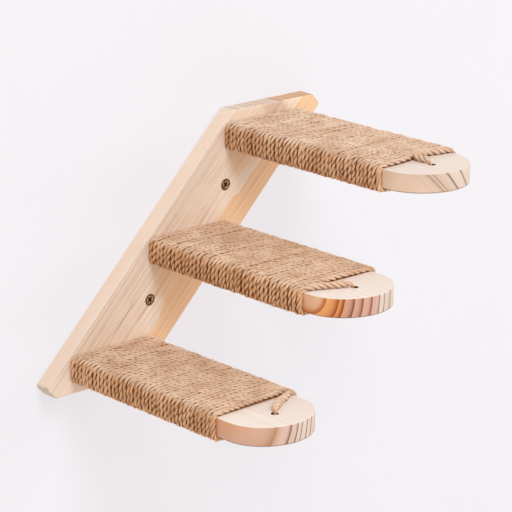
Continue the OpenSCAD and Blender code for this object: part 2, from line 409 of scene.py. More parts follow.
@dataclass
class Signal:
    """A node's output, on which plain arithmetic adds Math nodes."""

    sheet: "Sheet"
    socket: bpy.types.NodeSocket
    __add__ = operator("ADD")
    __sub__ = operator("SUBTRACT")
    __rsub__ = operator("SUBTRACT", swapped=True)
    __mul__ = operator("MULTIPLY")
    __truediv__ = operator("DIVIDE")
    __rtruediv__ = operator("DIVIDE", swapped=True)
    __pow__ = operator("POWER")


@dataclass
class Sheet:
    """A node tree that is filled with short calls."""

    tree: bpy.types.NodeTree

    def fill(self, node: bpy.types.Node, inputs: Inputs) -> None:
        """Links a node's inputs to signals, or sets their own values."""
        for key, value in inputs.items():
            if isinstance(value, Signal):
                self.tree.links.new(value.socket, node.inputs[key])
            else:
                node.inputs[key].default_value = value

    def add(self, kind: str, inputs: Inputs | None = None, **settings: Any) -> dict[str, Signal]:
        """Adds a node.

        Args:
            kind: The node's type, without its leading ShaderNode.
            inputs: A value or a signal for each input, by its name or number.
            **settings: The node's own settings.

        Returns:
            The node's outputs that are in use, by name.
        """
        node = self.tree.nodes.new("ShaderNode" + kind)
        for name, value in settings.items():
            setattr(node, name, value)
        self.fill(node, inputs or {})
        return {output.name: Signal(self, output) for output in node.outputs if output.enabled}

    def one(self, kind: str, inputs: Inputs | None = None, **settings: Any) -> Signal:
        """Adds a node and returns its first output that is in use."""
        return next(iter(self.add(kind, inputs, **settings).values()))

    def math(self, operation: str, *values: Any) -> Signal:
        """Adds a Math node and returns its result."""
        return self.one("Math", dict(enumerate(values)), operation=operation)

    def vector(self, operation: str, *values: Any) -> Signal:
        """Adds a Vector Math node and returns its result."""
        return self.one("VectorMath", dict(enumerate(values)), operation=operation)

    def place(self) -> Signal:
        """Returns the object coordinates in millimetres."""
        inputs = {0: self.add("TexCoord")["Object"], "Scale": 1 / MM}
        return self.one("VectorMath", inputs, operation="SCALE")

    def joined(self, x: Signal, y: Signal, z: Signal) -> Signal:
        """Returns three numbers as a vector."""
        return self.one("CombineXYZ", {"X": x, "Y": y, "Z": z})

    def step(self, value: Signal, low: Any, high: Any, start: float = 0.0, end: float = 1.0) -> Signal:
        """Returns a smooth step of a value between two limits, from start to end."""
        ends = {"Value": value, "From Min": low, "From Max": high, "To Min": start, "To Max": end}
        return self.one("MapRange", ends, interpolation_type="SMOOTHSTEP")

    def mix(self, share: Any, first: Any, second: Any, blend: str = "MIX") -> Signal:
        """Returns the mix of two colours."""
        return self.one("Mix", {0: share, 6: first, 7: second}, data_type="RGBA", blend_type=blend)

    def noise(self, vector: Signal, scale: Any = 1.0, detail: float = 2.0, rough: float = 0.5) -> Signal:
        """Returns three-dimensional noise."""
        inputs = {"Vector": vector, "Scale": scale, "Detail": detail, "Roughness": rough}
        return self.one("TexNoise", inputs)

    def line_noise(self, value: Signal, detail: float = 2.0) -> Signal:
        """Returns noise that varies along a number."""
        return self.one("TexNoise", {"W": value, "Scale": 1.0, "Detail": detail}, noise_dimensions="1D")

    def bump(self, height: Signal, strength: float, distance: float) -> Signal:
        """Returns a normal that a height tilts, whose distance is in millimetres."""
        return self.one("Bump", {"Height": height, "Strength": strength, "Distance": distance * MM})

    def ramp(self, value: Signal, stops: Sequence[tuple[float, Colour]]) -> Signal:
        """Returns the colour that a value picks from stops, which rise and are joined evenly.

        Args:
            value: The number that picks.
            stops: Places with their colours.

        Returns:
            The picked colour.
        """
        low, high = stops[0][0], stops[-1][0]
        share = self.one("MapRange", {"Value": value, "From Min": low, "From Max": high})
        picked = self.one("ValToRGB", {"Fac": share})
        elements = picked.socket.node.color_ramp.elements
        elements[0].color, elements[1].color = stops[0][1], stops[-1][1]
        for place, colour in stops[1:-1]:
            elements.new((place - low) / (high - low)).color = colour
        return picked


@dataclass
class Group:
    """A shader group under construction: its sheet, what comes in and what goes out."""

    sheet: Sheet
    source: dict[str, Signal]
    result: bpy.types.Node

    def put(self, **signals: Signal) -> bpy.types.NodeTree:
        """Links the named outputs and returns the finished group."""
        self.sheet.fill(self.result, signals)
        return self.sheet.tree


def new_group(name: str, takes: dict[str, float | Triple], gives: Sequence[str]) -> Group:
    """Starts a shader group.

    Args:
        name: Its name.
        takes: The default of each input, which is a number or a vector.
        gives: Names of the numbers that it puts out.

    Returns:
        The group, to be filled.
    """
    tree = bpy.data.node_groups.new(name, "ShaderNodeTree")
    for label, default in takes.items():
        kind = Socket.VECTOR if isinstance(default, tuple) else Socket.NUMBER
        socket = tree.interface.new_socket(label, in_out="INPUT", socket_type=kind.value)
        socket.default_value = default
    for label in gives:
        tree.interface.new_socket(label, in_out="OUTPUT", socket_type=Socket.NUMBER.value)
    sheet = Sheet(tree)
    source = {output.name: Signal(sheet, output) for output in tree.nodes.new("NodeGroupInput").outputs}
    return Group(sheet, source, tree.nodes.new("NodeGroupOutput"))


def board_frame_group() -> bpy.types.NodeTree:
    """Builds the group that turns object coordinates into a board's own millimetres.

    Each of a board's axes gives one number: (place - origin) . axis, in millimetres. End is
    how far the surface looks along the grain, from 0 on long grain to 1 on end grain. Side
    is how far it looks across the board, and Rim how far it looks away from both faces.

    Returns:
        The finished group.
    """
    axes = {"Across": (1, 0, 0), "Through": (0, 0, 1), "Along": (0, 1, 0)}
    takes = {"Origin": (0, 0, 0), **axes, "End From": 0.1, "End To": 0.6}
    group = new_group("board_frame", takes, [*axes, "End", "Side", "Rim"])
    sheet, source = group.sheet, group.source
    shifted = sheet.vector("SUBTRACT", sheet.place(), source["Origin"])
    normal = sheet.add("TexCoord")["Normal"]
    places = {name: sheet.vector("DOT_PRODUCT", shifted, source[name]) for name in axes}
    across, through, along = (
        sheet.math("ABSOLUTE", sheet.vector("DOT_PRODUCT", normal, source[name])) for name in axes
    )
    return group.put(
        **places,
        End=sheet.step(along, source["End From"], source["End To"]),
        Side=sheet.step(across, 0.4, 0.9),
        Rim=sheet.step(through, 0.35, 0.75, 1.0, 0.0),
    )


def growth_rings_group() -> bpy.types.NodeTree:
    """Builds the group that cuts a board out of a tree's growth rings.

    The distance to the pith, bent by noise that is long along the grain, is divided by the
    ring spacing. Its fraction rises to the dark late wood and drops at once. Each ring has
    its own strength. Late is the dark line, and Radius the distance to the pith in
    millimetres.

    Returns:
        The finished group.
    """
    takes = dict.fromkeys(["Across", "Through", "Along"], 0.0)
    takes |= {"Pith Across": -80.0, "Pith Through": 20.0, "Spacing": 6.0, "Wander": 1.0}
    takes |= {"Uneven": 1.0, "Late Share": 0.35, "Edge": 0.07}
    bend_width, bend_length, bend_reach, swell_length = 26.0, 160.0, 6.0, 11.0
    group = new_group("growth_rings", takes, ["Late", "Radius"])
    sheet, source = group.sheet, group.source
    stretched = sheet.joined(
        source["Across"] / bend_width, source["Through"] / bend_width, source["Along"] / bend_length
    )
    inputs = {"Vector": stretched, "Scale": 1.0, "Detail": 1.5, "Roughness": 0.45}
    apart = sheet.add("SeparateXYZ", {"Vector": sheet.add("TexNoise", inputs)["Color"]})
    squares = []
    for name, axis in (("Across", "X"), ("Through", "Y")):
        sway = (apart[axis] - 0.5) * source["Wander"]
        moved = sway * bend_reach + (source[name] - source["Pith " + name])
        squares.append(moved * moved)
    radius = sheet.math("SQRT", squares[0] + squares[1])
    swell = sheet.line_noise(radius / swell_length, 1.0)
    phase = radius / source["Spacing"] + (swell - 0.5) * source["Uneven"]
    share = sheet.math("FRACT", phase)
    darkest = 1.0 - source["Edge"]
    rise = sheet.step(share, darkest - source["Late Share"], darkest)
    drop = sheet.step(share, darkest, 1.0, 1.0, 0.0)
    own = sheet.one("TexWhiteNoise", {"W": sheet.math("FLOOR", phase)}, noise_dimensions="1D")
    return group.put(Late=rise**1.6 * drop * (own * 0.65 + 0.35), Radius=radius)


def fibre_group() -> bpy.types.NodeTree:
    """Builds the group of fine streaks that run along wood or rope.

    Noise is squeezed by Width across and stretched by Length along. Streak is the fine
    noise, Dash its rare dark peaks, and Cloud a slow mottle.

    Returns:
        The finished group.
    """
    takes = {"Vector": (0, 0, 0), "Width": 0.5, "Length": 14.0, "Cloud Size": 25.0}
    group = new_group("fibre_streaks", takes, ["Streak", "Dash", "Cloud"])
    sheet, source = group.sheet, group.source
    x, y, z = sheet.add("SeparateXYZ", {"Vector": source["Vector"]}).values()
    squeezed = sheet.joined(x / source["Width"], y / source["Width"], z / source["Length"])
    streak = sheet.noise(squeezed, 1.0, 3.0, 0.6)
    cloud = sheet.noise(source["Vector"], 1.0 / source["Cloud Size"])
    return group.put(Streak=streak, Dash=sheet.step(streak, 0.66, 0.78), Cloud=cloud)


def wear_group() -> bpy.types.NodeTree:
    """Builds the group of rubbed edges and dull spots on metal and plastic.

    Rub is the piece's own edge value, broken up by noise. Spots are patches of noise.

    Returns:
        The finished group.
    """
    group = new_group("edge_wear", {"Size": 1.0, "Amount": 0.5}, ["Rub", "Spots", "Grit"])
    sheet, source = group.sheet, group.source
    place = sheet.place()
    patch = sheet.noise(place, 1.0 / source["Size"], 3.0)
    edge = sheet.add("Attribute", attribute_name="edge")["Fac"]
    return group.put(
        Rub=edge * sheet.step(patch, 0.3, 0.7) * source["Amount"],
        Spots=sheet.step(patch, 0.5, 0.72),
        Grit=sheet.noise(place, 3.5),
    )


@dataclass(frozen=True)
class Groups:
    """The shader groups that the finishes share."""

    board_frame: bpy.types.NodeTree
    growth_rings: bpy.types.NodeTree
    fibres: bpy.types.NodeTree
    wear: bpy.types.NodeTree


def new_material(name: str) -> tuple[bpy.types.Material, Sheet, bpy.types.Node]:
    """Makes an empty material and returns it, its sheet and its Principled BSDF.

    Args:
        name: The material's name.

    Returns:
        The material, its sheet, and its Principled BSDF.
    """
    material = bpy.data.materials.new(name)
    material.use_nodes = True
    sheet = Sheet(material.node_tree)
    shader = material.node_tree.nodes["Principled BSDF"]
    return material, sheet, shader


# Finishes


@dataclass(frozen=True)
class Streak:
    """A slim mark on a board, mostly a resinous streak, and in a warm tone a painted
    shadow under a step: place, slope, half length, half width, strength.
    """

    across: float
    along: float
    slope: float
    half_length: float
    half_width: float
    strength: float
    tone: Colour = srgb(120, 74, 44)

    def share(self, sheet: Sheet, across: Signal, along: Signal) -> Signal:
        """Returns how far a place lies in a slim spindle: 1 - (off / width)2 - (on / length)2.

        Args:
            sheet: The material's sheet.
            across: Place across the board.
            along: Place along it.

        Returns:
            The mark's share of the colour.
        """
        on = along - self.along
        off = (across - (on * self.slope + self.across)) / self.half_width
        reach = on / self.half_length
        return sheet.step(off * off + reach * reach, 1.0, 0.2, 0.0, self.strength)


@dataclass(frozen=True)
class Ring:
    """A growth ring's outer edge: its radius, its darkness and its late wood's width.

    Without a width, the late wood begins at the ring before.
    """

    radius: float
    dark: float
    width: float | None = None


@dataclass(frozen=True)
class Zone:
    """The colours of end grain at a radius: between the dark lines, and on them."""

    radius: float
    pale: Colour
    late: Colour


@dataclass(frozen=True)
class Pine:
    """Bare planed pine, cut from a log whose pith runs along the board.

    With `whole_rim`, as on a step, all the board's edges take the colours of end grain,
    and its lower arris, its rope's hole and the wood under the last turn get painted shade.
    """

    name: str
    origin: Triple
    across: Triple
    through: Triple
    along: Triple
    pith: Pair
    spacing: float = 6.0
    wander: float = 0.4
    uneven: float = 1.2
    late_share: float = 0.35
    edge: float = 0.07
    whole_rim: bool = True
    end_range: Pair = (0.1, 0.6)
    heart_side: Pair | None = None
    face_lines: float = 0.22
    side_lines: float = 0.1
    side_tone: Colour = (1.0, 1.0, 1.0, 1.0)
    # How strong the painted shade along a step's lower arris is.
    arris_shade: float = 0.6
    # Colour of the painted shade inside the rope's hole.
    bore: Colour = srgb(72, 44, 30)
    bore_along: float = 225.0
    # Where the painted shade under the rope's last turn ends, how far that edge dips, and its warm colour.
    rope_edge: float = 0.0
    rope_dip: float = 0.0
    under_rope: Colour = srgb(214, 150, 102)
    pale: Colour = srgb(239, 227, 217)
    late: Colour = srgb(206, 164, 136)
    heart_pale: Colour = srgb(245, 202, 157)
    heart_late: Colour = srgb(212, 154, 108)
    heart_edge: Colour = srgb(246, 224, 196)
    # Colour of the painted shade along a step's lower arris.
    arris_shade_tone: Colour = srgb(120, 74, 44)
    rings: tuple[Ring, ...] = ()
    zones: tuple[Zone, ...] = (Zone(0.0, srgb(226, 198, 174), srgb(160, 118, 92)),)
    streaks: tuple[Streak, ...] = ()

    def material(self, groups: Groups) -> bpy.types.Material:
        """Builds the material.

        Args:
            groups: The shared shader groups.

        Returns:
            The material, on object coordinates.
        """
        material, sheet, shader = new_material(self.name)
        axes = {"Across": self.across, "Through": self.through, "Along": self.along}
        inputs = {"Origin": self.origin, **axes, "End From": self.end_range[0], "End To": self.end_range[1]}
        placed = sheet.add("Group", inputs, node_tree=groups.board_frame)
        across, through, along, end, side, rim = placed.values()
        end = rim if self.whole_rim else end
        inputs = {name: placed[name] for name in axes}
        inputs |= {"Pith Across": self.pith[0], "Pith Through": self.pith[1], "Spacing": self.spacing}
        inputs |= {"Wander": self.wander, "Uneven": self.uneven}
        inputs |= {"Late Share": self.late_share, "Edge": self.edge}
        late, radius = sheet.add("Group", inputs, node_tree=groups.growth_rings).values()
        place = sheet.joined(across, through, along)
        inputs = {"Vector": place, "Width": 0.8, "Length": 60.0, "Cloud Size": 34.0}
        streak, dash, cloud = sheet.add("Group", inputs, node_tree=groups.fibres).values()
        late = self.late_wood(sheet, radius) if self.rings else late
        face = self.long_grain(sheet, late, cloud, side, across, along)
        ends = [sheet.ramp(radius, self.zone_stops(name)) for name in ("pale", "late")]
        colour = sheet.mix(end, face, sheet.mix(late, *ends))
        if self.whole_rim:
            colour = self.with_painted_shade(sheet, colour, across, through, along)
        shade = (streak * 0.2 + 0.9) * (cloud * 0.16 + 0.92) - dash * 0.06
        tint = sheet.one("CombineColor", {"Red": shade**0.6, "Green": shade, "Blue": shade**1.3})
        finish = {
            "Base Color": sheet.mix(1.0, colour, tint, "MULTIPLY"),
            "Roughness": end * 0.15 + (streak * 0.2 + 0.5),
            "Specular IOR Level": 0.35,
            "Normal": sheet.bump(late * 0.5 + streak, 0.25, 0.12),
        }
        sheet.fill(shader, finish)
        return material

    def with_painted_shade(
        self, sheet: Sheet, colour: Signal, across: Signal, through: Signal, along: Signal
    ) -> Signal:
        """Paints shade on a step's lower arris, in its rope's hole, and on the wood under the last turn.

        The rope's edge dips by a bell curve, exp(-off2 / (2 width2)), where the rope leaves.

        Args:
            sheet: The material's sheet.
            colour: The bare wood's colour.
            across: Place across the board.
            through: Place through it.
            along: Place along it.

        Returns:
            The wood's colour with the painted shade.
        """
        arris_from, arris_to = -7.7, -8.3
        bore_outer, bore_inner = 13.8, 12.4
        dip_at, dip_width, blur, strength = 14.0, 12.0, 0.8, 0.8
        # Painted shade along the lower arris, which faces down.
        low = sheet.step(through, arris_from, arris_to) * self.arris_shade
        colour = sheet.mix(low, colour, self.arris_shade_tone)
        # Painted shade inside the rope's hole.
        off = along - self.bore_along
        bore_shade = sheet.step(off * off + across * across, bore_outer, bore_inner)
        colour = sheet.mix(bore_shade, colour, self.bore)
        # Painted shade: warm brown on the wood under the edge of the rope's last turn, where its shadow
        # falls.
        off = across - dip_at
        bell = sheet.math("EXPONENT", off * off * (-0.5 / dip_width**2))
        covered = bell * self.rope_dip + along
        contact_shade = sheet.step(covered, self.rope_edge + blur, self.rope_edge - blur, 0.0, strength)
        return sheet.mix(contact_shade, colour, self.under_rope)

    def zone_stops(self, name: str) -> list[tuple[float, Colour]]:
        """Returns the radius and the pale or late colour of each zone, and of one far out."""
        last = self.zones[-1]
        zones = (*self.zones, Zone(last.radius + 60.0, last.pale, last.late))
        return [(zone.radius, getattr(zone, name)) for zone in zones]

    def late_wood(self, sheet: Sheet, radius: Signal) -> Signal:
        """Returns the darkness of the board's own rings, which rises and then drops at once.

        Args:
            sheet: The material's sheet.
            radius: Distance to the pith.

        Returns:
            Darkness from 0 to 1.
        """
        drop, line, first_width, power = 0.3, 0.8, 12.0, 2.6
        levels = [(self.rings[0].radius - first_width, 0.0)]
        for ring in self.rings:
            if ring.width:
                levels.append((ring.radius - ring.width, 0.0))
            levels += [(ring.radius - line, ring.dark * 0.9), (ring.radius, ring.dark)]
            levels.append((ring.radius + drop, 0.0))
        return sheet.ramp(radius, [(place, (level, level, level, 1.0)) for place, level in levels]) ** power

    def long_grain(
        self, sheet: Sheet, late: Signal, cloud: Signal, side: Signal, across: Signal, along: Signal
    ) -> Signal:
        """Returns the colour of the board's faces: soft broken lines, heartwood, resinous
        streaks, and warm painted shadow under the steps.

        Args:
            sheet: The material's sheet.
            late: Darkness of the rings.
            cloud: Slow mottle.
            side: How far the surface looks across the board.
            across: Place across the board.
            along: Place along it.

        Returns:
            The colour.
        """
        strength = sheet.step(cloud, 0.36, 0.62, 0.35 * self.face_lines, self.face_lines)
        lines = late * (strength * (side * (self.side_lines - 1.0) + 1.0))
        colour = sheet.mix(lines, self.pale, self.late)
        if self.heart_side:
            off = self.beyond_heart(sheet, across, along)
            heart = sheet.mix(lines * 0.6, self.heart_pale, self.heart_late)
            edge, inside = (-2.6, -1.4), (-0.7, 0.7)
            colour = sheet.mix(sheet.step(off, *edge) * 0.6, colour, self.heart_edge)
            colour = sheet.mix(sheet.step(off, *inside), colour, heart)
        colour = sheet.mix(side, colour, sheet.mix(1.0, colour, self.side_tone, "MULTIPLY"))
        # Resinous marks, and warm painted shadow under the steps.
        for streak in self.streaks:
            colour = sheet.mix(streak.share(sheet, across, along), colour, streak.tone)
        return colour

    def beyond_heart(self, sheet: Sheet, across: Signal, along: Signal) -> Signal:
        """Returns how far a place lies beyond the wavy line where the heartwood begins.

        Args:
            sheet: The material's sheet.
            across: Place across the board.
            along: Place along it.

        Returns:
            The distance, which is above nought in the heartwood.
        """
        inner, outer = self.heart_side
        top, foot, wave_length, wave_reach = (64.0, 73.0), (-60.0, -82.0), 22.0, 4.0
        outward = sheet.step(along, *top, 0.0, 0.6) + sheet.step(along, *foot)
        wave = (sheet.line_noise(along / wave_length) - 0.5) * wave_reach
        return across - (wave + (outward * (outer - inner) + inner))


@dataclass(frozen=True)
class Jute:
    """Natural jute rope with painted shade, dark brown, in its grooves and between its
    turns, and a paler painted highlight where it faces up.

    The windings differ a little in shade, given from the bottom one up.
    """

    name: str
    light: Colour = srgb(255, 210, 167)
    dark: Colour = srgb(214, 158, 110)
    # Painted shade: the dark brown of the grooves and of the valleys between turns.
    groove: Colour = srgb(136, 68, 18)
    # The next three colours are a painted highlight: paler, lit colours for faces that look up.
    top_lit_light: Colour = srgb(248, 219, 194)
    top_lit_dark: Colour = srgb(204, 164, 131)
    top_lit_groove: Colour = srgb(144, 90, 52)
    fleck: Colour = srgb(70, 44, 28)
    shades: tuple[Colour, ...] = ((0.98, 0.97, 0.95, 1), (1.0, 0.99, 0.96, 1), (0.98, 1.0, 1.03, 1))
    shade_heights: Triple = (-50.0, 50.0, 51.0)

    def material(self, groups: Groups) -> bpy.types.Material:
        """Builds the material, which reads the rope's own `way`, `ridge` and `facing_up` values.
        It paints shade where `ridge` is low, and a paler painted highlight where `facing_up`
        shows that the rope faces up.

        Args:
            groups: The shared shader groups.

        Returns:
            The material.
        """
        material, sheet, shader = new_material(self.name)
        way = sheet.add("Attribute", attribute_name="way")["Vector"]
        ridge, facing_up = (sheet.add("Attribute", attribute_name=name)["Fac"] for name in ("ridge", "facing_up"))
        inputs = {"Vector": way, "Width": 0.8, "Length": 3.0}
        streak = sheet.add("Group", inputs, node_tree=groups.fibres)["Streak"]
        place = sheet.place()
        # Painted highlight: the share of the paler, lit colours grows where the rope faces up.
        paler = sheet.step(facing_up, 0.2, 0.95)
        tone = sheet.noise(place, 0.045) * 0.5 + streak * 0.7
        light = sheet.mix(paler, self.light, self.top_lit_light)
        dark = sheet.mix(paler, self.dark, self.top_lit_dark)
        colour = sheet.mix(sheet.step(tone, 0.38, 0.8), light, dark)
        # Painted shade: grooves and valleys between turns, where the ridge value is low, take the groove
        # colours.
        depth = sheet.step(streak * 0.8 + ridge, 0.5, 1.25, 0.97, 0.0)
        colour = sheet.mix(depth, colour, sheet.mix(paler, self.groove, self.top_lit_groove))
        height = sheet.add("SeparateXYZ", {"Vector": place})["Z"]
        shades = sheet.ramp(height, list(zip(self.shade_heights, self.shades)))
        colour = sheet.mix(1.0, colour, shades, "MULTIPLY")
        spot = sheet.step(sheet.noise(place, 0.42, 1.0), 0.735, 0.76)
        finish = {
            "Base Color": sheet.mix(spot, colour, self.fleck),
            "Roughness": streak * 0.15 + 0.8,
            "Specular IOR Level": 0.2,
            "Sheen Weight": 0.12,
            "Sheen Roughness": 0.5,
            "Normal": sheet.bump(streak, 0.8, 0.35),
        }
        sheet.fill(shader, finish)
        return material


@dataclass(frozen=True)
class Metal:
    """Plated screw metal with rubbed edges and dull spots."""

    name: str
    plain: Colour
    rubbed: Colour
    dull: Colour
    rough: float

    def material(self, groups: Groups) -> bpy.types.Material:
        """Builds the material.

        Args:
            groups: The shared shader groups.

        Returns:
            The material.
        """
        material, sheet, shader = new_material(self.name)
        paler, spots, grit = sheet.add("Group", {"Size": 1.4, "Amount": 0.9}, node_tree=groups.wear).values()
        finish = {
            "Base Color": sheet.mix(paler, sheet.mix(spots, self.plain, self.dull), self.rubbed),
            "Metallic": 1.0,
            "Roughness": spots * 0.2 + self.rough - paler * 0.12,
            "Normal": sheet.bump(grit, 0.3, 0.08),
        }
        sheet.fill(shader, finish)
        return material


@dataclass(frozen=True)
class Nylon:
    """Moulded grey nylon, a little uneven."""

    name: str
    plain: Colour = srgb(176, 178, 176)
    scuffed: Colour = srgb(206, 207, 204)

    def material(self, groups: Groups) -> bpy.types.Material:
        """Builds the material.

        Args:
            groups: The shared shader groups.

        Returns:
            The material.
        """
        material, sheet, shader = new_material(self.name)
        paler, spots, grit = sheet.add("Group", {"Size": 3.0, "Amount": 0.8}, node_tree=groups.wear).values()
        scuff = sheet.math("MAXIMUM", paler, spots * 0.4)
        finish = {
            "Base Color": sheet.mix(scuff, self.plain, self.scuffed),
            "Roughness": grit * 0.2 + 0.38,
            "Normal": sheet.bump(grit, 0.2, 0.1),
        }
        sheet.fill(shader, finish)
        return material


def dress(piece: bpy.types.Object, material: bpy.types.Material, slot: Slot, *nodes: str) -> None:
    """Gives a piece its finish and its body, and hides the nodes that it stands for.

    Args:
        piece: The new piece.
        material: Its finish.
        slot: Not used.
        *nodes: The CAD nodes that the piece replaces.
    """
    piece.data.materials.clear()
    piece.data.materials.append(material)
    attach(piece, BODY)
    if nodes:
        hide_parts(*nodes)
    log.info("%s: %d points, %d faces", piece.name, len(piece.data.vertices), len(piece.data.polygons))


# The plank and the steps


@dataclass
class Layout:
    """Where things lie on the plank, in millimetres."""

    lean: float = np.radians(45.0)
    pitch: float = 136.0
    plank_width: float = 90.0
    plank_thickness: float = 18.0
    plank_end: float = 24.0
    step_screw_gap: float = 52.0

    def on_plank(self, across: float, along: float) -> Array:
        """Returns x and z of a place on the plank, turned by its lean."""
        sine, cosine = np.sin(self.lean), np.cos(self.lean)
        return np.array([along * cosine + across * sine, along * sine - across * cosine])

    def step_origin(self, along: float) -> Array:
        """Returns x, y and z of a place on the middle line of the plank's front."""
        x, z = self.on_plank(0, along)
        return np.array([x, -self.plank_thickness, z])

    @property
    def rise(self) -> float:
        """Height of the plank's level ends above and below its middle."""
        return self.pitch * np.sin(self.lean) + self.plank_end


@dataclass
class BackPlank:
    """The slanted plank that the wall screws and the step screws go through."""

    layout: Layout
    corner_trim: float = 15.0
    ease: float = 1.3
    corner_radii: tuple[float, ...] = (4.0, 3.0, 3.0, 4.0, 3.0, 3.0)
    shank_radii: Pair = (3.2, 2.1)
    mouth_radii: Pair = (5.9, 4.4)
    mouth_depths: Pair = (0.5, 0.5)
    mouth_edge: float = 0.2
    relief: Pair = (4.5, 1.0)

    def outline(self) -> tuple[Array, Array]:
        """Returns the rounded outline and its outward directions, in x and z.

        The level end at the height `rise` meets the edge at `across` where along is
        (rise + across cos) / sin. The sharp corner is cut square to the edge before that.

        Returns:
            The outline's points, and the way out at each.
        """
        half = self.layout.plank_width / 2
        sine, cosine, rise = np.sin(self.layout.lean), np.cos(self.layout.lean), self.layout.rise
        trim_at = (rise + half * cosine) / sine - self.corner_trim
        upper = [
            self.layout.on_plank(half, trim_at),
            self.layout.on_plank((trim_at * sine - rise) / cosine, trim_at),
            self.layout.on_plank(-half, (rise - half * cosine) / sine),
        ]
        return filleted(np.array(upper + [-corner for corner in upper]), self.corner_radii)

    def screw_hole(self, kind: int, *end: Pair) -> list[Pair]:
        """Returns the profile of a countersunk hole: broken edge, seat, cone, and its end."""
        shank, mouth, depth = self.shank_radii[kind], self.mouth_radii[kind], self.mouth_depths[kind]
        edge = self.mouth_edge
        return [(mouth + edge, 0), (mouth, edge), (mouth, depth), (shank, depth + mouth - shank), *end]

    def holes(self) -> list[Hole]:
        """Returns the wall screws' holes from the front and the step screws' from the back.

        Returns:
            The eight holes.
        """
        thick, pitch, (wide, deep) = self.layout.plank_thickness, self.layout.pitch, self.relief
        relief_at = thick - deep
        wall = self.screw_hole(0, (self.shank_radii[0], relief_at), (wide, relief_at), (wide, thick))
        step = self.screw_hole(1, (self.shank_radii[1], thick))
        holes = [Hole(tuple(self.layout.on_plank(0, along)), wall) for along in (pitch / 2, -pitch / 2)]
        for along in (pitch, 0, -pitch):
            x, z = self.layout.on_plank(0, along)
            for side in Side:
                at = (x + side.value * self.layout.step_screw_gap / 2, z)
                holes.append(Hole(at, step, from_top=False))
        return holes

    def build(self, finish: bpy.types.Material) -> None:
        """Builds the plank: its outline lies in x and z, and its third axis is -y.

        Args:
            finish: The pine.
        """
        shell = board(*self.outline(), 0, self.layout.plank_thickness, self.ease, self.holes())
        turn = np.array([[1, 0, 0], [0, 0, -1], [0, 1, 0]])
        piece = shell.placed(turn, (0, 0, 0)).as_object("pine_back_plank")
        dress(piece, finish, Slot.PINE, "back_plank")


@dataclass
class StepBoard:
    """A step with a rounded nose, and the holes that take its rope's two ends."""

    name: str
    node: str
    layout: Layout
    along: float
    start_out: float
    width: float = 90.0
    thickness: float = 18.0
    reach: float = 255.0
    nose_depth: float = 41.0
    corner: float = 1.6
    ease: float = 0.7
    hole_inset: float = 30.0
    hole_radius: float = 3.5
    hole_edge: float = 0.3
    hole_depth: float = 13.0

    def outline(self) -> tuple[Array, Array]:
        """Returns the outline in x and y, measured from the step's end on the plank.

        The nose is half an ellipse, (a cos t, b sin t), whose outward direction is
        (b cos t, a sin t) brought to a length of one.

        Returns:
            The outline's points, and the way out at each.
        """
        half, deep, corner = self.width / 2, self.nose_depth, self.corner
        round_nose = circle(np.linspace(np.pi, 2 * np.pi, 73))
        nose = round_nose * (half, deep) + (0, deep - self.reach)
        facing = unit(round_nose * (deep, half))
        swing = circle(quarter_turn(5))
        right = swing * corner + (half - corner, -corner)
        left, left_facing = (rows[::-1] * (-1, 1) for rows in (right, swing))
        return np.concatenate([nose, right, left]), np.concatenate([facing, swing, left_facing])

    def build(self, finish: bpy.types.Material) -> None:
        """Builds the board with its third axis upward.

        Args:
            finish: The pine.
        """
        radius, edge, depth = self.hole_radius, self.hole_edge, self.hole_depth
        profile = [(radius + edge, 0), (radius, edge), (radius, depth), (0, depth)]
        holes = [
            Hole((0, self.hole_inset - self.reach), profile),
            Hole((0, -self.start_out), profile, from_top=False),
        ]
        half = self.thickness / 2
        shell = board(*self.outline(), -half, half, self.ease, holes)
        piece = shell.placed(np.eye(3), self.layout.step_origin(self.along)).as_object(self.name)
        dress(piece, finish, Slot.PINE, self.node)


# The rope


def lengths_along(points: Array) -> Array:
    """Returns the length of a line before each of its points."""
    return np.concatenate([[0], np.cumsum(np.linalg.norm(np.diff(points, axis=0), axis=1))])


def softened(rows: Array, reach: int) -> Array:
    """Returns each row's mean with so many neighbours on both sides, under a bell-shaped window."""
    window = np.hanning(2 * reach + 3)[1:-1]
    wide = np.concatenate([np.repeat(rows[:1], reach, 0), rows, np.repeat(rows[-1:], reach, 0)])
    return np.stack([np.convolve(row, window / window.sum(), "valid") for row in wide.T], axis=1)


def resampled(points: Array, backs: Array, spacing: float) -> tuple[Array, Array]:
    """Returns points along a line at an even spacing, and the backs that go with them.

    Args:
        points: The line.
        backs: A direction for each point.
        spacing: Distance between new points.

    Returns:
        The new points and their directions.
    """
    lengths = lengths_along(points)
    keep = np.diff(lengths, prepend=-1.0) > 1e-9
    lengths = lengths[keep]
    wanted = np.linspace(0, lengths[-1], max(2, int(round(lengths[-1] / spacing)) + 1))
    first, second = (
        np.stack([np.interp(wanted, lengths, row) for row in rows[keep].T], axis=1)
        for rows in (points, backs)
    )
    return first, second


def wandering(
    on: Array, end: float, gap: float, draw: Callable[..., Array], *limits: float, adds: bool = False
) -> Array:
    """Draws values at even knots along a rope and joins them evenly.

    Args:
        on: The places that want a value.
        end: The rope's length.
        gap: Distance between the knots.
        draw: The random generator's method.
        *limits: What the method takes before the number of values.
        adds: Whether each knot's value is added to the one before.

    Returns:
        A value for each place.
    """
    knots = np.arange(0, end + gap, gap)
    drawn = draw(*limits, len(knots))
    return np.interp(on, knots, np.cumsum(drawn) if adds else drawn)


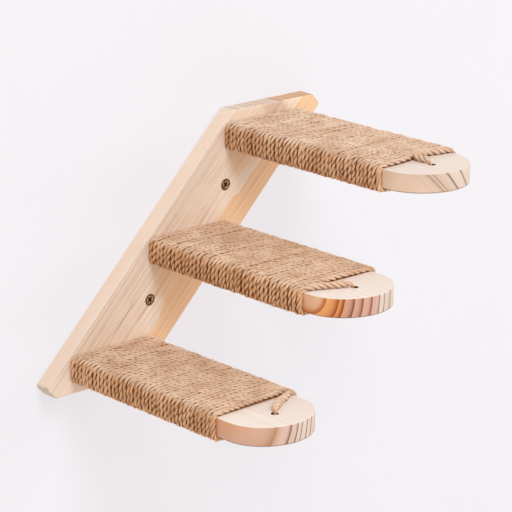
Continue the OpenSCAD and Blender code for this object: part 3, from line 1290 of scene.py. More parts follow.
@dataclass
class RopePath:
    """A rope's centre line: its points, the way its back faces, and its free tail's length."""

    points: Array
    backs: Array
    tail: float = 0.0

    def evened(self, spacing: float, soften: float) -> "RopePath":
        """Softens the line and spaces its points evenly.

        Each point becomes the mean of its neighbours under a bell-shaped window, and the
        backs are then turned square to the line.

        Args:
            spacing: Distance between the new points.
            soften: Half the length of the window.

        Returns:
            The new line.
        """
        fine = 0.25
        reach = max(1, int(round(soften / fine)))
        points, backs = (softened(rows, reach) for rows in resampled(self.points, self.backs, fine))
        points, backs = resampled(points, backs, spacing)
        ways = unit(np.gradient(points, axis=0))
        backs = unit(backs - ways * (backs * ways).sum(axis=1, keepdims=True))
        return RopePath(points, backs, self.tail)

    @property
    def ways(self) -> Array:
        """The direction of the rope at each point."""
        return unit(np.gradient(self.points, axis=0))

    @property
    def lengths(self) -> Array:
        """The length of rope before each point."""
        return lengths_along(self.points)


@dataclass
class RopeWinding:
    """A rope that is wound round a step and ends in the hole near its nose.

    Places are given across the step, outward from the plank, and up from the step's
    middle. A rope that comes up on the left is drawn as one on the right, and mirrored.
    """

    name: str
    node: str
    layout: Layout
    along: float
    turns: int
    last_out: float
    start_out: float
    rises: Side
    route: tuple[Pair, ...]
    lead: float = 0.0
    dip: float = 0.0
    dip_at: float = 14.0
    seed: int = 1
    width: float = 5.2
    thickness: float = 4.75
    half_width: float = 45.0
    half_height: float = 9.0
    seat: float = 0.1
    lay: float = 20.0
    first_out: float = 2.75
    hole_out: float = 225.0
    hole_bottom: float = -3.0
    start_top: float = 3.0
    bend: float = 4.6
    hole_bend: float = 2.6
    hole_side: float = 1.5
    tail_girth: float = 1.36
    tail_swells: float = 10.0
    tail_thins: tuple[float, float, float] = (22.0, 14.0, 0.5)
    bulges: Pair = (0.5, 0.9)
    squareness: float = 0.78
    top_press: float = 0.4
    side_press: float = 0.2
    top_ply: float = 0.52
    side_ply: float = 0.75
    tail_ply: float = 0.6
    side_gap: float = 1.0
    top_gap: float = 0.9
    side_open: float = 0.4
    top_open: float = 0.4
    valley_width: float = 0.45
    last_faint: float = 0.35
    ring_gap: float = 1.5
    soften: float = 1.1
    fine: float = 0.4
    corner_points: int = 13
    route_reach: int = 6
    ply_profile: tuple[float, ...] = (0.62, 0.88, 1.0, 1.0, 0.88)
    ridge_profile: tuple[float, ...] = (0.0, 0.55, 1.0, 1.0, 0.55)
    last_turn: float = 245.0
    strips: int = 24

    def turn_table(self) -> tuple[Array, Array, Array]:
        """One turn round the step, from the middle of the underside to the right and up.

        Straight runs join quarter circles, so the line is the board's section moved out by
        half the rope's thickness.

        Returns:
            Length along the turn, place (across, up), and outward direction.
        """
        far = np.array([self.half_width, self.half_height]) + self.seat + self.thickness / 2
        bottom, down = np.array([[0, -far[1]]]), np.array([[0.0, -1.0]])
        places, facings = [bottom], [down]
        for quarter, signs in enumerate(((1, -1), (1, 1), (-1, 1), (-1, -1))):
            facing = circle(quarter_turn(self.corner_points) + (quarter - 1) * np.pi / 2)
            places.append(signs * (far - self.bend) + self.bend * facing)
            facings.append(facing)
        place, facing = np.concatenate(places + [bottom]), np.concatenate(facings + [down])
        return lengths_along(place), place, facing

    def path(self) -> RopePath:
        """Works out the rope's whole way: hole, turns, bare nose, hole.

        After n turns the line lies first_out + n pitch from the plank. Where it starts and
        where it ends, the turns beside it bow by a bell curve that dies away over some
        turns. The last stretch runs through the route's places.

        Returns:
            The centre line in the step's own millimetres: across, -out, up.
        """
        lengths, place, facing = self.turn_table()
        around = lengths[-1]
        end = self.turns * around + lengths[2 * self.corner_points]
        pitch = (self.last_out - self.first_out) / (end / around)
        on = np.arange(self.hole_bend, end, self.fine)
        table = np.concatenate([place, facing], axis=1).T
        across, up, face_x, face_z = (np.interp(np.mod(on, around), lengths, row) for row in table)
        count = on / around
        out = self.first_out + pitch * self.advance(count) + self.bows(across, face_z, count)
        lead_span, out_gap, out_spread, lift_gap, lifts = 0.3, 50, 0.28, 38, (-0.15, 0.35)
        out += self.lead * np.clip((count - self.turns) / lead_span + 0.5, 0, 1)
        rng = np.random.default_rng(self.seed)
        out += wandering(on, end, out_gap, rng.normal, 0, out_spread)
        lift = wandering(on, end, lift_gap, rng.uniform, *lifts)
        side_bulge = self.bulges[0] * np.clip(1 - (up / self.half_height) ** 2, 0, 1)
        top_bulge = self.bulges[1] * np.clip(1 - (across / self.half_width) ** 2, 0, 1)
        top_bulge *= np.clip(count - 0.4, 0, 1)
        across, up = across + face_x * (lift + side_bulge), up + face_z * (lift + top_bulge)
        points = np.stack([across, -out, up], axis=1)
        backs = np.stack([face_x, np.zeros_like(face_x), face_z], axis=1)
        first_points, first_backs = self.first_stretch(points[0])
        last_points, last_backs = self.last_stretch(points[-1])
        return RopePath(
            np.concatenate([first_points, points, last_points]),
            np.concatenate([first_backs, backs, last_backs]),
            float(lengths_along(last_points)[-1]),
        )

    def advance(self, count: Array) -> Array:
        """How many pitches the rope has moved out after so many turns.

        The first turns lie flat against the plank and each other, and step out where they
        cross the underside. Over some turns that becomes an even helix.

        Args:
            count: Turns so far.

        Returns:
            Pitches so far.
        """
        step_from, step_over, even_after = 0.81, 0.17, 16
        whole = np.floor(count)
        share = np.clip((count - whole - step_from) / step_over, 0, 1)
        stepped = whole + share * share * (3 - 2 * share)
        even = np.clip(count / even_after, 0, 1)
        return stepped + (count - stepped) * even

    def bows(self, across: Array, face_z: Array, count: Array) -> Array:
        """How far turns bow along the step, by their place across and their number.

        Each bow is a bell curve, exp(-(off / width)2 / 2), times a share that falls with
        the number of turns from the rope's start or its end.

        Args:
            across: Places across the step.
            face_z: How far the surface there looks up.
            count: Turns so far.

        Returns:
            How far out each place moves.
        """
        under_width, over_width, over_turns = 15, 12, 12
        under = np.clip(-face_z, 0, 1) * np.exp(-((across / under_width) ** 2) / 2)
        near_start = np.interp(np.floor(count + 0.5), [0, 1, 8], [1.0, 0.94, 0.0])
        over = np.clip(face_z, 0, 1) * np.exp(-(((across - self.dip_at) / over_width) ** 2) / 2)
        dipped = [self.turns - over_turns, self.turns - 1]
        near_end = np.interp(np.floor(count), dipped, [0.0, 1.0])
        return (self.start_out - self.first_out) * under * near_start - self.dip * over * near_end

    def first_stretch(self, first: Array) -> tuple[Array, Array]:
        """The rope comes down out of its first hole and turns along the underside.

        The bend is a quarter circle whose radius is `hole_bend`.

        Args:
            first: Where the turns begin.

        Returns:
            The stretch's points and backs.
        """
        cosine, sine = circle(quarter_turn(9)[:-1]).T
        backs = np.stack([-cosine, np.zeros_like(sine), -sine], axis=1)
        arc = first * (0, 1, 1) + self.hole_bend * (backs + (1, 0, 1))
        down = np.array([[0, first[1], self.start_top]])
        return np.concatenate([down, arc]), np.concatenate([backs[:1], backs])

    def last_stretch(self, last: Array) -> tuple[Array, Array]:
        """The rope runs over the bare nose along its route and turns down into its hole.

        The route is softened, rises as the rope swells, and ends in a quarter circle.

        Args:
            last: Where the turns end.

        Returns:
            The stretch's points and backs.
        """
        rise = np.array([0.0, 0.0, 1.0])
        hole = np.array([0.0, -self.hole_out, last[2]])
        way = [last] + [np.array([x, -out, last[2]]) for x, out in self.route]
        ahead = unit(hole - way[-1])
        line = np.array(way + [hole - ahead * (self.hole_bend + self.hole_side)])
        points = softened(resampled(line, line, self.fine)[0], self.route_reach)[1:]
        swell = np.clip(np.arange(len(points)) * self.fine / self.tail_swells, 0, 1)
        points[:, 2] += (self.tail_girth - 1) * self.thickness / 2 * swell
        swing = quarter_turn(9)[1:, None]
        backs = ahead * np.sin(swing) + rise * np.cos(swing)
        arc = points[-1] + self.hole_bend * (backs - rise)
        bottom = np.array([[arc[-1, 0], arc[-1, 1], self.hole_bottom]])
        level = np.tile(rise, (len(points), 1))
        return np.concatenate([points, arc, bottom]), np.concatenate([level, backs, backs[-1:]])

    def rings(self, path: RopePath) -> tuple[Array, Array, Array, Array]:
        """Carries the three-ply section along the line, turned by the lay.

        Point k of a ring lies at radius times its ply profile, at the angle
        2 pi (k / 15 + length / lay). The section is squashed on the wood: half the width
        along the step, and half the thickness out from it, both by a power of sine and
        cosine that makes it squarer where turns lie side by side. A rope that will be
        mirrored turns the other way. The ridge value falls from a ply's back to the groove
        beside it, and to the valley between two turns, which counts most on the top; the
        jute paints shade where it is low.

        Args:
            path: The rope's centre line.

        Returns:
            Points, ridge values, the rope's own coordinates, and outward directions.
        """
        plies, long_gap, short_gap, into_turns, into_last = 3, 22, 6, 4, 5
        girth_spread, slip_spread, swell_spread, open_slope, rim = 0.04, 0.9, 0.08, 3, 0.05
        weakest_press, weakest_split, strongest = 0.25, 0.6, 1.25
        length = path.lengths
        end = length[-1]
        left = end - length
        wound = np.clip((left - path.tail) / into_turns, 0, 1)[:, None]
        last_turn = np.clip((path.tail + self.last_turn - left) / into_last, 0, 1)[:, None]
        flat = wound * (1 - last_turn)
        up = np.clip(path.backs[:, 2:], 0, 1) * flat
        beside = flat - up
        rng = np.random.default_rng(self.seed + 50)
        girth = wandering(length, end, long_gap, rng.normal, 1.0, girth_spread)
        slip = wandering(length, end, long_gap, rng.normal, 0, slip_spread, adds=True)
        thins_from, thin_at, thinned = self.tail_thins
        girth *= 1 + (self.tail_girth - 1) * np.clip((path.tail - left) / self.tail_swells, 0, 1)
        girth *= 1 - (1 - thinned) * np.clip((thins_from - left) / (thins_from - thin_at), 0, 1)
        near = (length, end, short_gap)
        swells = [wandering(*near, rng.normal, 1.0, swell_spread) for _ in range(plies)]
        pressed, split = (
            wandering(*near, rng.uniform, low, strongest)[:, None]
            for low in (weakest_press, weakest_split)
        )
        pressing = 1 - self.side_press * beside - self.top_press * up
        shape = 1 - (1 - np.tile(self.ply_profile, plies)) * pressing
        shape = shape * np.repeat(np.stack(swells, axis=1), len(self.ply_profile), axis=1)
        twist = self.rises.value * (2 * np.pi * length / self.lay + slip)
        angles = even_angles(shape.shape[1])[None, :] + twist[:, None]
        level = np.cross(path.ways, path.backs)
        power = 1 - (1 - self.squareness) * wound
        cosine, sine = (np.sign(v) * np.abs(v) ** power for v in (np.cos(angles), np.sin(angles)))
        tall = self.thickness / 2 * girth[:, None] * shape * cosine
        wide = self.width / 2 * girth[:, None] * shape * sine
        offset = path.backs[:, None, :] * tall[..., None] + level[:, None, :] * wide[..., None]
        points = path.points[:, None, :] + offset
        own = np.stack([tall, wide, np.broadcast_to(length[:, None], tall.shape)], axis=-1)
        open_side = last_turn * np.clip(-open_slope * level[:, 1:2] * np.sin(angles), 0, 1)
        reach = rim - self.side_open * beside - self.top_open * up
        valley = np.maximum(np.clip((np.cos(angles) + reach) / self.valley_width, 0, 1), open_side)
        gap = wound * (self.side_gap + (self.top_gap - self.side_gap) * up) * (1 - valley) * pressed
        held = self.tail_ply + (1 - self.tail_ply) * wound
        faint = (1 - self.side_ply) * beside + (1 - self.top_ply) * up + self.last_faint * last_turn * wound
        ply = (1 - np.tile(self.ridge_profile, plies)) * (1 - faint) * held * split
        return points, np.clip(1 - ply - gap, 0, 1), own, unit(offset)

    def strip_map(self, rings: int, count: int) -> Array:
        """Lays the rope's skin out as strips beside each other, for the rope's OFBake map.

        Args:
            rings: Rings along the rope.
            count: Points in a ring.

        Returns:
            Two coordinates for each corner of each quad, in the order of `lattice`.
        """
        margin, rim = 0.06, 0.002
        row, column = np.arange(rings - 1), np.arange(count)
        per_strip = int(np.ceil(len(row) / self.strips))
        on = (row % per_strip)[:, None]
        low_v, high_v = (
            ((row // per_strip)[:, None] + margin + (1 - 2 * margin) * side / count) / self.strips
            for side in (column, column + 1)
        )
        low_u, high_u = (np.broadcast_to(end / per_strip, low_v.shape) for end in (on, on + 1))
        corners = np.stack([low_u, low_v, low_u, high_v, high_u, high_v, high_u, low_v], axis=-1)
        return rim + (1 - 2 * rim) * corners.reshape(-1, 4, 2)

    def mirrored(self, points: Array) -> Array:
        """Returns places in the room: a rope that rises on the left is mirrored on its step."""
        return points.reshape(-1, 3) * (self.rises.value, 1, 1) + self.layout.step_origin(self.along)

    def build(self, finish: bpy.types.Material) -> None:
        """Builds the rope and its loose fibres.

        Args:
            finish: The jute.
        """
        path = self.path().evened(self.ring_gap, self.soften)
        points, ridges, own, facing = self.rings(path)
        rings, count = points.shape[:2]
        right = self.rises is Side.RIGHT
        quads, corner_map = lattice(rings, count), self.strip_map(rings, count)
        if not right:
            quads, corner_map = quads[:, ::-1], corner_map[:, ::-1]
        rim, tip = np.arange(count), rings * count
        caps = np.concatenate([fan(tip, rim, right), fan(tip + 1, tip - count + rim, not right)])
        cap_map = np.tile([[0.0, 0.0], [0.001, 0.0], [0.001, 0.001]], (len(caps), 1))
        faces = np.concatenate([quads, caps])
        values = {
            "ridge": np.concatenate([ridges.reshape(-1), [1.0, 1.0]]),
            # How far the rope faces up, for the painted highlight.
            "facing_up": np.concatenate([np.repeat(path.backs[:, 2], count), [1.0, 1.0]]),
            "way": np.concatenate([own.reshape(-1, 3), [[0, 0, 0], [0, 0, path.lengths[-1]]]]),
        }
        maps = {"OFBake": np.concatenate([corner_map.reshape(-1, 2), cap_map])}
        skin = self.mirrored(np.concatenate([points.reshape(-1, 3), path.points[[0, -1]]]))
        rope = Shell(skin, faces, np.ones(len(faces), bool), values, maps).as_object(self.name)
        dress(rope, finish, Slot.JUTE, self.node)
        dress(self.fuzz(path, points, facing, own), finish, Slot.JUTE)
        log.info("%s: %.2f m of rope", self.name, path.lengths[-1] * MM)

    def fuzz(self, path: RopePath, points: Array, facing: Array, own: Array) -> bpy.types.Object:
        """Scatters loose fibres over the outer side of the rope.

        A fibre is a slim three-sided spindle with its foot in the rope. It leans along the
        rope and outward, bends in the middle, and ends in a point.

        Args:
            path: The rope's centre line.
            points: The rope's rings.
            facing: The way out at each point.
            own: The rope's own coordinates there.

        Returns:
            One object with all the fibres.
        """
        wanted, drawn, first_ring, lowest, buried = 3600, 9000, 30, 0.2, 0.35
        lifts, lengths, thicks, stray = (0.1, 0.9), (1.2, 4.6), (0.045, 0.1), (0.45, 0.5)
        rng = np.random.default_rng(self.seed + 100)
        ring = rng.integers(0, points.shape[0], drawn)
        column = rng.integers(0, points.shape[1], drawn)
        outer = (own[ring, column, 0] > lowest) & (ring > first_ring)
        ring, column = ring[outer][:wanted], column[outer][:wanted]
        number = len(ring)
        foot, out = points[ring, column], facing[ring, column]
        way = path.ways[ring] * rng.choice([-1.0, 1.0], number)[:, None]
        lean = way + out * rng.uniform(*lifts, (number, 1))
        lean = unit(lean + rng.normal(0, stray[0], foot.shape))
        bend = unit(lean + rng.normal(0, stray[1], foot.shape) - out * 0.25)
        length = rng.uniform(*lengths, (number, 1))
        thick = rng.uniform(*thicks, (number, 1))
        side = unit(np.cross(lean, out) + 1e-6)
        other = unit(np.cross(lean, side))
        middle = foot + lean * length * 0.5
        offsets = [thick * (cosine * side + sine * other) for cosine, sine in circle(even_angles(3))]
        rows = [foot - out * buried + offset for offset in offsets]
        rows += [middle + 0.8 * offset for offset in offsets] + [middle + bend * length * 0.5]
        fibres = np.stack(rows, axis=1)
        walls = [[0, 1, 4, 3], [1, 2, 5, 4], [2, 0, 3, 5]]
        pattern = np.array(walls + [[3, 4, 6, -1], [4, 5, 6, -1], [5, 3, 6, -1], [2, 1, 0, -1]])
        if self.rises is Side.LEFT:
            pattern = np.where(pattern[:, 3:] >= 0, pattern[:, ::-1], pattern[:, [2, 1, 0, 3]])
        at = np.arange(number)[:, None, None] * len(rows)
        faces = np.where(pattern[None] >= 0, pattern[None] + at, -1).reshape(-1, 4)
        values = {
            "ridge": np.repeat(rng.uniform(0.55, 1.0, number), len(rows)),
            # How far the rope faces up there, for the painted highlight.
            "facing_up": np.repeat(path.backs[ring, 2], len(rows)),
            "way": np.repeat(own[ring, column], len(rows), axis=0),
        }
        shell = Shell(self.mirrored(fibres), faces, np.ones(len(faces), bool), values)
        return shell.as_object(self.name + "_fibres")


# The screws and the plugs


@dataclass
class CrossScrew:
    """A countersunk wood screw with a tapered cross recess and a cut thread.

    It is drawn along the third axis: the head's face lies at nought and the point below.
    """

    name: str
    node: str
    face: Triple
    points_to_wall: bool
    length: float
    shank_radius: float
    head_radius: float
    turn: float = 45.0
    rim: float = 0.5
    thread_pitch: float = 2.4
    thread_depth: float = 0.24
    arm_reach: float = 0.6
    arm_half_width: float = 0.165
    recess_depth: float = 0.44
    floor_cross: Pair = (0.34, 0.6)
    half_way_cross: Pair = (0.5, 0.8)
    neck_share: float = 0.8
    plain_share: float = 0.36
    ridge_slope: float = 4.2

    def angles(self) -> Array:
        """Angles round the screw, closer together at the corners of the recess's arms."""
        tip = np.degrees(np.arctan2(self.arm_half_width, self.arm_reach))
        arm = np.array([-45, -34, -23, -tip - 1.5, -tip + 1.5, 0, tip - 1.5, tip + 1.5, 23, 34])
        return np.radians((np.arange(4)[:, None] * 90 + arm[None, :]).ravel() + self.turn)

    def cross(self, angles: Array, reach: float, half_width: float) -> Array:
        """Distance to a cross's outline: the nearer of an arm's side and its end."""
        off = np.mod(angles - np.radians(self.turn) + np.pi / 4, np.pi / 2) - np.pi / 4
        side = half_width / np.maximum(np.abs(np.sin(off)), 1e-6)
        return np.minimum(side, reach / np.cos(off)) * self.head_radius

    def shell(self) -> Shell:
        """Builds the screw from rows of radii.

        From the recess's floor outward the rows go from the cross to the head's round
        edge; then down the cone, along the thread and to the point. The thread adds a
        ridge where height / pitch - angle / 2 pi is near a whole number.

        Returns:
            The closed screw.
        """
        angles = self.angles()
        head, shank, shallow = self.head_radius, self.shank_radius, 0.12
        depth = self.recess_depth * head
        outline = self.cross(angles, self.arm_reach, self.arm_half_width)
        floor, half_way = (
            self.cross(angles, reach, share * self.arm_half_width)
            for reach, share in (self.floor_cross, self.half_way_cross)
        )
        rounded = np.full_like(angles, head)
        top = [
            (0 * rounded, -depth - 0.35 * shank / 3, 0.0),
            (floor, -depth, 0.0),
            (half_way, -depth / 2, 0.0),
            (outline * 0.97, -shallow, 0.2),
            (outline + 0.08, 0.0, 1.0),
            (outline * 0.6 + rounded * 0.4, 0.0, 0.8),
            (rounded * 0.84, 0.0, 0.0),
            (rounded - 0.1, -0.06, 0.2),
            (rounded, -0.22, 0.2),
            (rounded, -self.rim, 0.1),
        ]
        radii, heights, edges = zip(*top)
        neck = shank * self.neck_share
        tip, taper = -self.length, 1.6 * shank
        thread_start = tip * self.plain_share
        rows = np.arange(neck - self.rim - head, tip + 0.2, -self.thread_pitch / 7)
        core = shank - self.thread_depth * 2.2
        pointed = (rows - tip) / taper
        body = np.where(rows > thread_start, neck, core) * np.clip(pointed, 0.05, 1)
        turns = rows[:, None] / self.thread_pitch - angles[None, :] / (2 * np.pi)
        off = np.abs(np.mod(turns + 0.5, 1) - 0.5)
        ridge = np.clip(1 - off * self.ridge_slope, 0, 1) * (shank - core)
        fade = np.clip((thread_start - rows) / 3, 0, 1) * np.clip(pointed, 0, 1)
        spread = body[:, None] + ridge * fade[:, None]
        radii = np.concatenate([np.array(radii), spread, np.zeros((1, len(angles)))])
        heights = np.concatenate([heights, rows, [tip]])
        shell = turned(np.stack([radii.max(axis=1), heights], axis=1), angles, radii, flip=True)
        values = np.concatenate([edges[1:], np.zeros(len(rows))])
        shell.values["edge"] = np.concatenate([np.repeat(values, len(angles)), [0.0, 0.0]])
        return shell

    def build(self, finish: bpy.types.Material, slot: Slot) -> None:
        """Builds the screw in its hole.

        Args:
            finish: Its metal.
            slot: The slot of that metal.
        """
        sign = -1.0 if self.points_to_wall else 1.0
        turn = np.array([[1, 0, 0], [0, 0, sign], [0, -sign, 0]])
        piece = self.shell().placed(turn, self.face).as_object(self.name)
        dress(piece, finish, slot, self.node)


@dataclass
class WallPlug:
    """A split nylon plug in the wall, with shallow rings and a slit across it."""

    name: str
    node: str
    place: Pair
    length: float = 40.0
    radius: float = 4.0
    bore: float = 3.1
    slit_half: float = 0.6
    slit_from: float = 12.0
    ring_pitch: float = 3.2
    ring_depth: float = 0.3
    chamfer: float = 0.6
    foot_chamfer: float = 0.15
    first_ring: float = 0.6
    half_columns: int = 14

    def surface(self, radii: Array, heights: Array) -> Array:
        """Points of a tube whose two halves leave a slit between them.

        At radius r a slit takes the angle asin(slit_half / r) on each side of its middle.

        Args:
            radii: The tube's radius at each height.
            heights: The heights.

        Returns:
            A grid of points.
        """
        slit = np.arcsin(self.slit_half / radii)[:, None]
        half = np.pi / 2 + slit + (np.pi - 2 * slit) * np.linspace(0, 1, self.half_columns)
        around = circle(np.concatenate([half, half + np.pi], axis=1)) * radii[:, None, None]
        level = np.broadcast_to(heights[:, None, None], around.shape[:2] + (1,))
        return np.concatenate([around, level], axis=-1)

    def shell(self) -> Shell:
        """Builds the plug from an outer and an inner tube.

        Both are grids of one size. The quads that span a slit are left out, and each open
        edge from a to b of the outer grid is joined to the inner one's by a flat quad.

        Returns:
            The closed plug, along the third axis from nought.
        """
        rim = self.length - self.chamfer
        rings = np.arange(self.first_ring, rim, self.ring_pitch / 8)
        heights = np.unique(np.concatenate([[0.0, self.slit_from, rim, self.length], rings]))
        wave = 0.5 - 0.5 * np.cos(2 * np.pi * heights / self.ring_pitch)
        plain_foot, fade = 3, 2
        deepening = np.clip((heights - plain_foot) / fade, 0, 1)
        outer = self.radius - self.ring_depth * wave * deepening
        outer[-1] = self.radius - self.chamfer
        outer[0] = self.radius - self.foot_chamfer
        grids = [self.surface(radii, heights) for radii in (outer, np.full_like(outer, self.bore))]
        rows, columns = len(heights), 2 * self.half_columns
        slits = (self.half_columns - 1, columns - 1)
        skin = lattice(rows, columns)
        open_row = int(np.argmin(np.abs(heights - self.slit_from)))
        spans = (skin[:, 0] // columns >= open_row) & np.isin(skin[:, 0] % columns, slits)
        kept = skin[~spans]
        here = np.arange(columns)
        beside = np.roll(here, -1)
        closed = ~np.isin(here, slits)
        last = (rows - 1) * columns
        edges = [(beside, here), (here[closed] + last, beside[closed] + last)]
        low = np.arange(open_row, rows - 1) * columns
        for near in slits:
            far = (near + 1) % columns
            edges += [(low + columns + near, low + near), (low + far, low + columns + far)]
            edges.append((low[:1] + near, low[:1] + far))
        a, b = (np.concatenate(ends) for ends in zip(*edges))
        shift = rows * columns
        joins = np.stack([a, b, b + shift, a + shift], axis=1)
        faces = np.concatenate([kept, kept[:, ::-1] + shift, joins])
        smooth = np.arange(len(faces)) < 2 * len(kept)
        edge = np.concatenate([np.repeat(1 - wave, columns), np.zeros(shift)])
        return Shell(np.concatenate(grids).reshape(-1, 3), faces, smooth, {"edge": edge})

    def build(self, finish: bpy.types.Material) -> None:
        """Builds the plug in the wall, along +y from the plank's back.

        Args:
            finish: The nylon.
        """
        turn = np.array([[1, 0, 0], [0, 0, 1], [0, -1, 0]])
        piece = self.shell().placed(turn, (self.place[0], 0, self.place[1])).as_object(self.name)
        dress(piece, finish, Slot.NYLON, self.node)


# The stage


@dataclass(frozen=True)
class PhotoView:
    """The photograph's camera: its place and its three axes, and its lens."""

    place: Triple = (-1.46769, -1.69530, 0.67148)
    right: Triple = (0.7347007, -0.6783439, 0.0080240)
    up: Triple = (0.1937576, 0.2211609, 0.9557959)
    forward: Triple = (0.6501330, 0.7006692, -0.2939213)
    sensor: float = 36.0
    lens: float = 170.89

    def build(self) -> None:
        """Makes the camera and chooses it for the scene."""
        data = bpy.data.cameras.new("photo_camera")
        data.sensor_width, data.lens = self.sensor, self.lens
        data.clip_start, data.clip_end = 0.05, 30.0
        camera = bpy.data.objects.new("photo_camera", data)
        back = tuple(-v for v in self.forward)
        columns = Matrix((self.right, self.up, back)).transposed().to_4x4()
        camera.matrix_world = Matrix.Translation(self.place) @ columns
        bpy.context.scene.collection.objects.link(camera)
        bpy.context.scene.camera = camera


@dataclass(frozen=True)
class SoftLamp:
    """A wide soft lamp that looks at the middle of the ladder."""

    name: str
    place: Triple
    size: float
    power: float
    tint: Triple = (1.0, 1.0, 1.0)
    aim: Triple = (0.0, -0.1, 0.0)

    def build(self) -> None:
        """Makes the lamp, unseen by the camera."""
        data = bpy.data.lights.new(self.name, "AREA")
        data.shape, data.size, data.energy, data.color = "DISK", self.size, self.power, self.tint
        lamp = bpy.data.objects.new(self.name, data)
        away = Vector(self.place) - Vector(self.aim)
        facing = away.to_track_quat("Z", "Y").to_matrix().to_4x4()
        lamp.matrix_world = Matrix.Translation(self.place) @ facing
        lamp.visible_camera = False
        bpy.context.scene.collection.objects.link(lamp)


def seen_rays(sheet: Sheet) -> Signal:
    """Returns 1 for the camera's rays and mirror-like ones, and 0 for the others."""
    rays = sheet.add("LightPath")
    bent = sheet.math("MAXIMUM", rays["Is Glossy Ray"], rays["Is Transmission Ray"])
    return sheet.math("MAXIMUM", rays["Is Camera Ray"], bent)


@dataclass(frozen=True)
class Studio:
    """A white plastered wall, a pale floor, a white world and soft lamps."""

    wall_y: float = 0.5
    wall_half: float = 2600.0
    floor_z: float = -620.0
    world_light: float = 0.62
    world_tint: Colour = (1.0, 0.93, 0.85, 1.0)
    backdrop: Colour = srgb(243, 241, 245)
    floor_patch: Colour = srgb(236, 235, 237)
    glow: float = 0.65
    lamps: tuple[SoftLamp, ...] = (
        SoftLamp("key_lamp", (-0.6, -1.9, 2.4), 1.5, 46.0, (0.95, 0.99, 1.05)),
        SoftLamp("fill_lamp", (1.9, -2.2, 0.9), 1.8, 18.0, (0.97, 1.0, 1.03)),
        SoftLamp("back_lamp", (0.6, 2.2, 1.4), 2.0, 16.0),
    )

    def plane(self, name: str, corners: Sequence[Triple], finish: bpy.types.Material) -> None:
        """Makes a plane of the stage from its four corners.

        Args:
            name: Its name.
            corners: Its corners in turn.
            finish: Its material.
        """
        shell = Shell(np.array(corners, float), np.array([[0, 1, 2, 3]]), np.zeros(1, bool))
        piece = shell.as_object(name)
        piece.data.materials.append(finish)

    def wall_material(self) -> bpy.types.Material:
        """Plaster that glows a little, so that shadows stay faint, and is clear from behind.

        Only the camera and mirror-like rays see it, and only from the front, so that light
        reaches the ladder from all round in every view.

        Returns:
            The material.
        """
        material, sheet, _ = new_material("studio_plaster")
        material.node_tree.nodes.clear()
        place = sheet.add("TexCoord")["Object"]
        shade = sheet.noise(place, 3.0, 4.0, 0.55) * 0.03 + 0.975
        tint = sheet.one("CombineColor", {"Red": shade, "Green": shade, "Blue": shade})
        colour = sheet.mix(1.0, self.backdrop, tint, "MULTIPLY")
        bump = sheet.bump(sheet.noise(place, 22.0, 5.0, 0.65), 0.12, 2.0)
        plaster = sheet.one("BsdfDiffuse", {"Color": colour, "Normal": bump})
        light = sheet.one("Emission", {"Color": colour, "Strength": 1.0})
        lit = sheet.one("MixShader", {0: self.glow, 1: plaster, 2: light})
        shown = seen_rays(sheet) * (1.0 - sheet.add("NewGeometry")["Backfacing"])
        clear = sheet.one("BsdfTransparent")
        sheet.add("OutputMaterial", {"Surface": sheet.one("MixShader", {0: shown, 1: clear, 2: lit})})
        return material

    def floor_material(self) -> bpy.types.Material:
        """A pale matt floor with a slight mottle.

        Returns:
            The material.
        """
        material, sheet, shader = new_material("studio_floor")
        patch = sheet.noise(sheet.add("TexCoord")["Object"], 2.0, 3.0)
        colour = sheet.mix(patch, self.backdrop, self.floor_patch)
        sheet.fill(shader, {"Base Color": colour, "Roughness": 0.8})
        return material

    def build(self) -> None:
        """Builds the stage, the world and the lamps."""
        half, y, floor = self.wall_half, self.wall_y, self.floor_z
        wall = [(-half, y, floor), (half, y, floor), (half, y, half), (-half, y, half)]
        ground = [(-half, -half, floor), (half, -half, floor), (half, half, floor), (-half, half, floor)]
        self.plane("studio_wall", wall, self.wall_material())
        self.plane("studio_ground", ground, self.floor_material())
        world = bpy.data.worlds.new("studio_world")
        world.use_nodes = True
        world.node_tree.nodes.clear()
        sheet = Sheet(world.node_tree)
        light = sheet.one("Background", {"Color": self.world_tint, "Strength": self.world_light})
        view = sheet.one("Background", {"Color": self.backdrop, "Strength": 1.0})
        mixed = sheet.one("MixShader", {0: seen_rays(sheet), 1: light, 2: view})
        sheet.add("OutputWorld", {"Surface": mixed})
        bpy.context.scene.world = world
        for lamp in self.lamps:
            lamp.build()


# The whole ladder


def ring_set(*rows: tuple[float, ...]) -> tuple[Ring, ...]:
    """Returns rings from rows of radius, darkness and, where there is one, width."""
    return tuple(Ring(*row) for row in rows)


def zone_set(*rows: tuple[float, Triple, Triple]) -> tuple[Zone, ...]:
    """Returns zones from rows of radius, pale colour and late colour."""
    return tuple(Zone(radius, srgb(*pale), srgb(*late)) for radius, pale, late in rows)


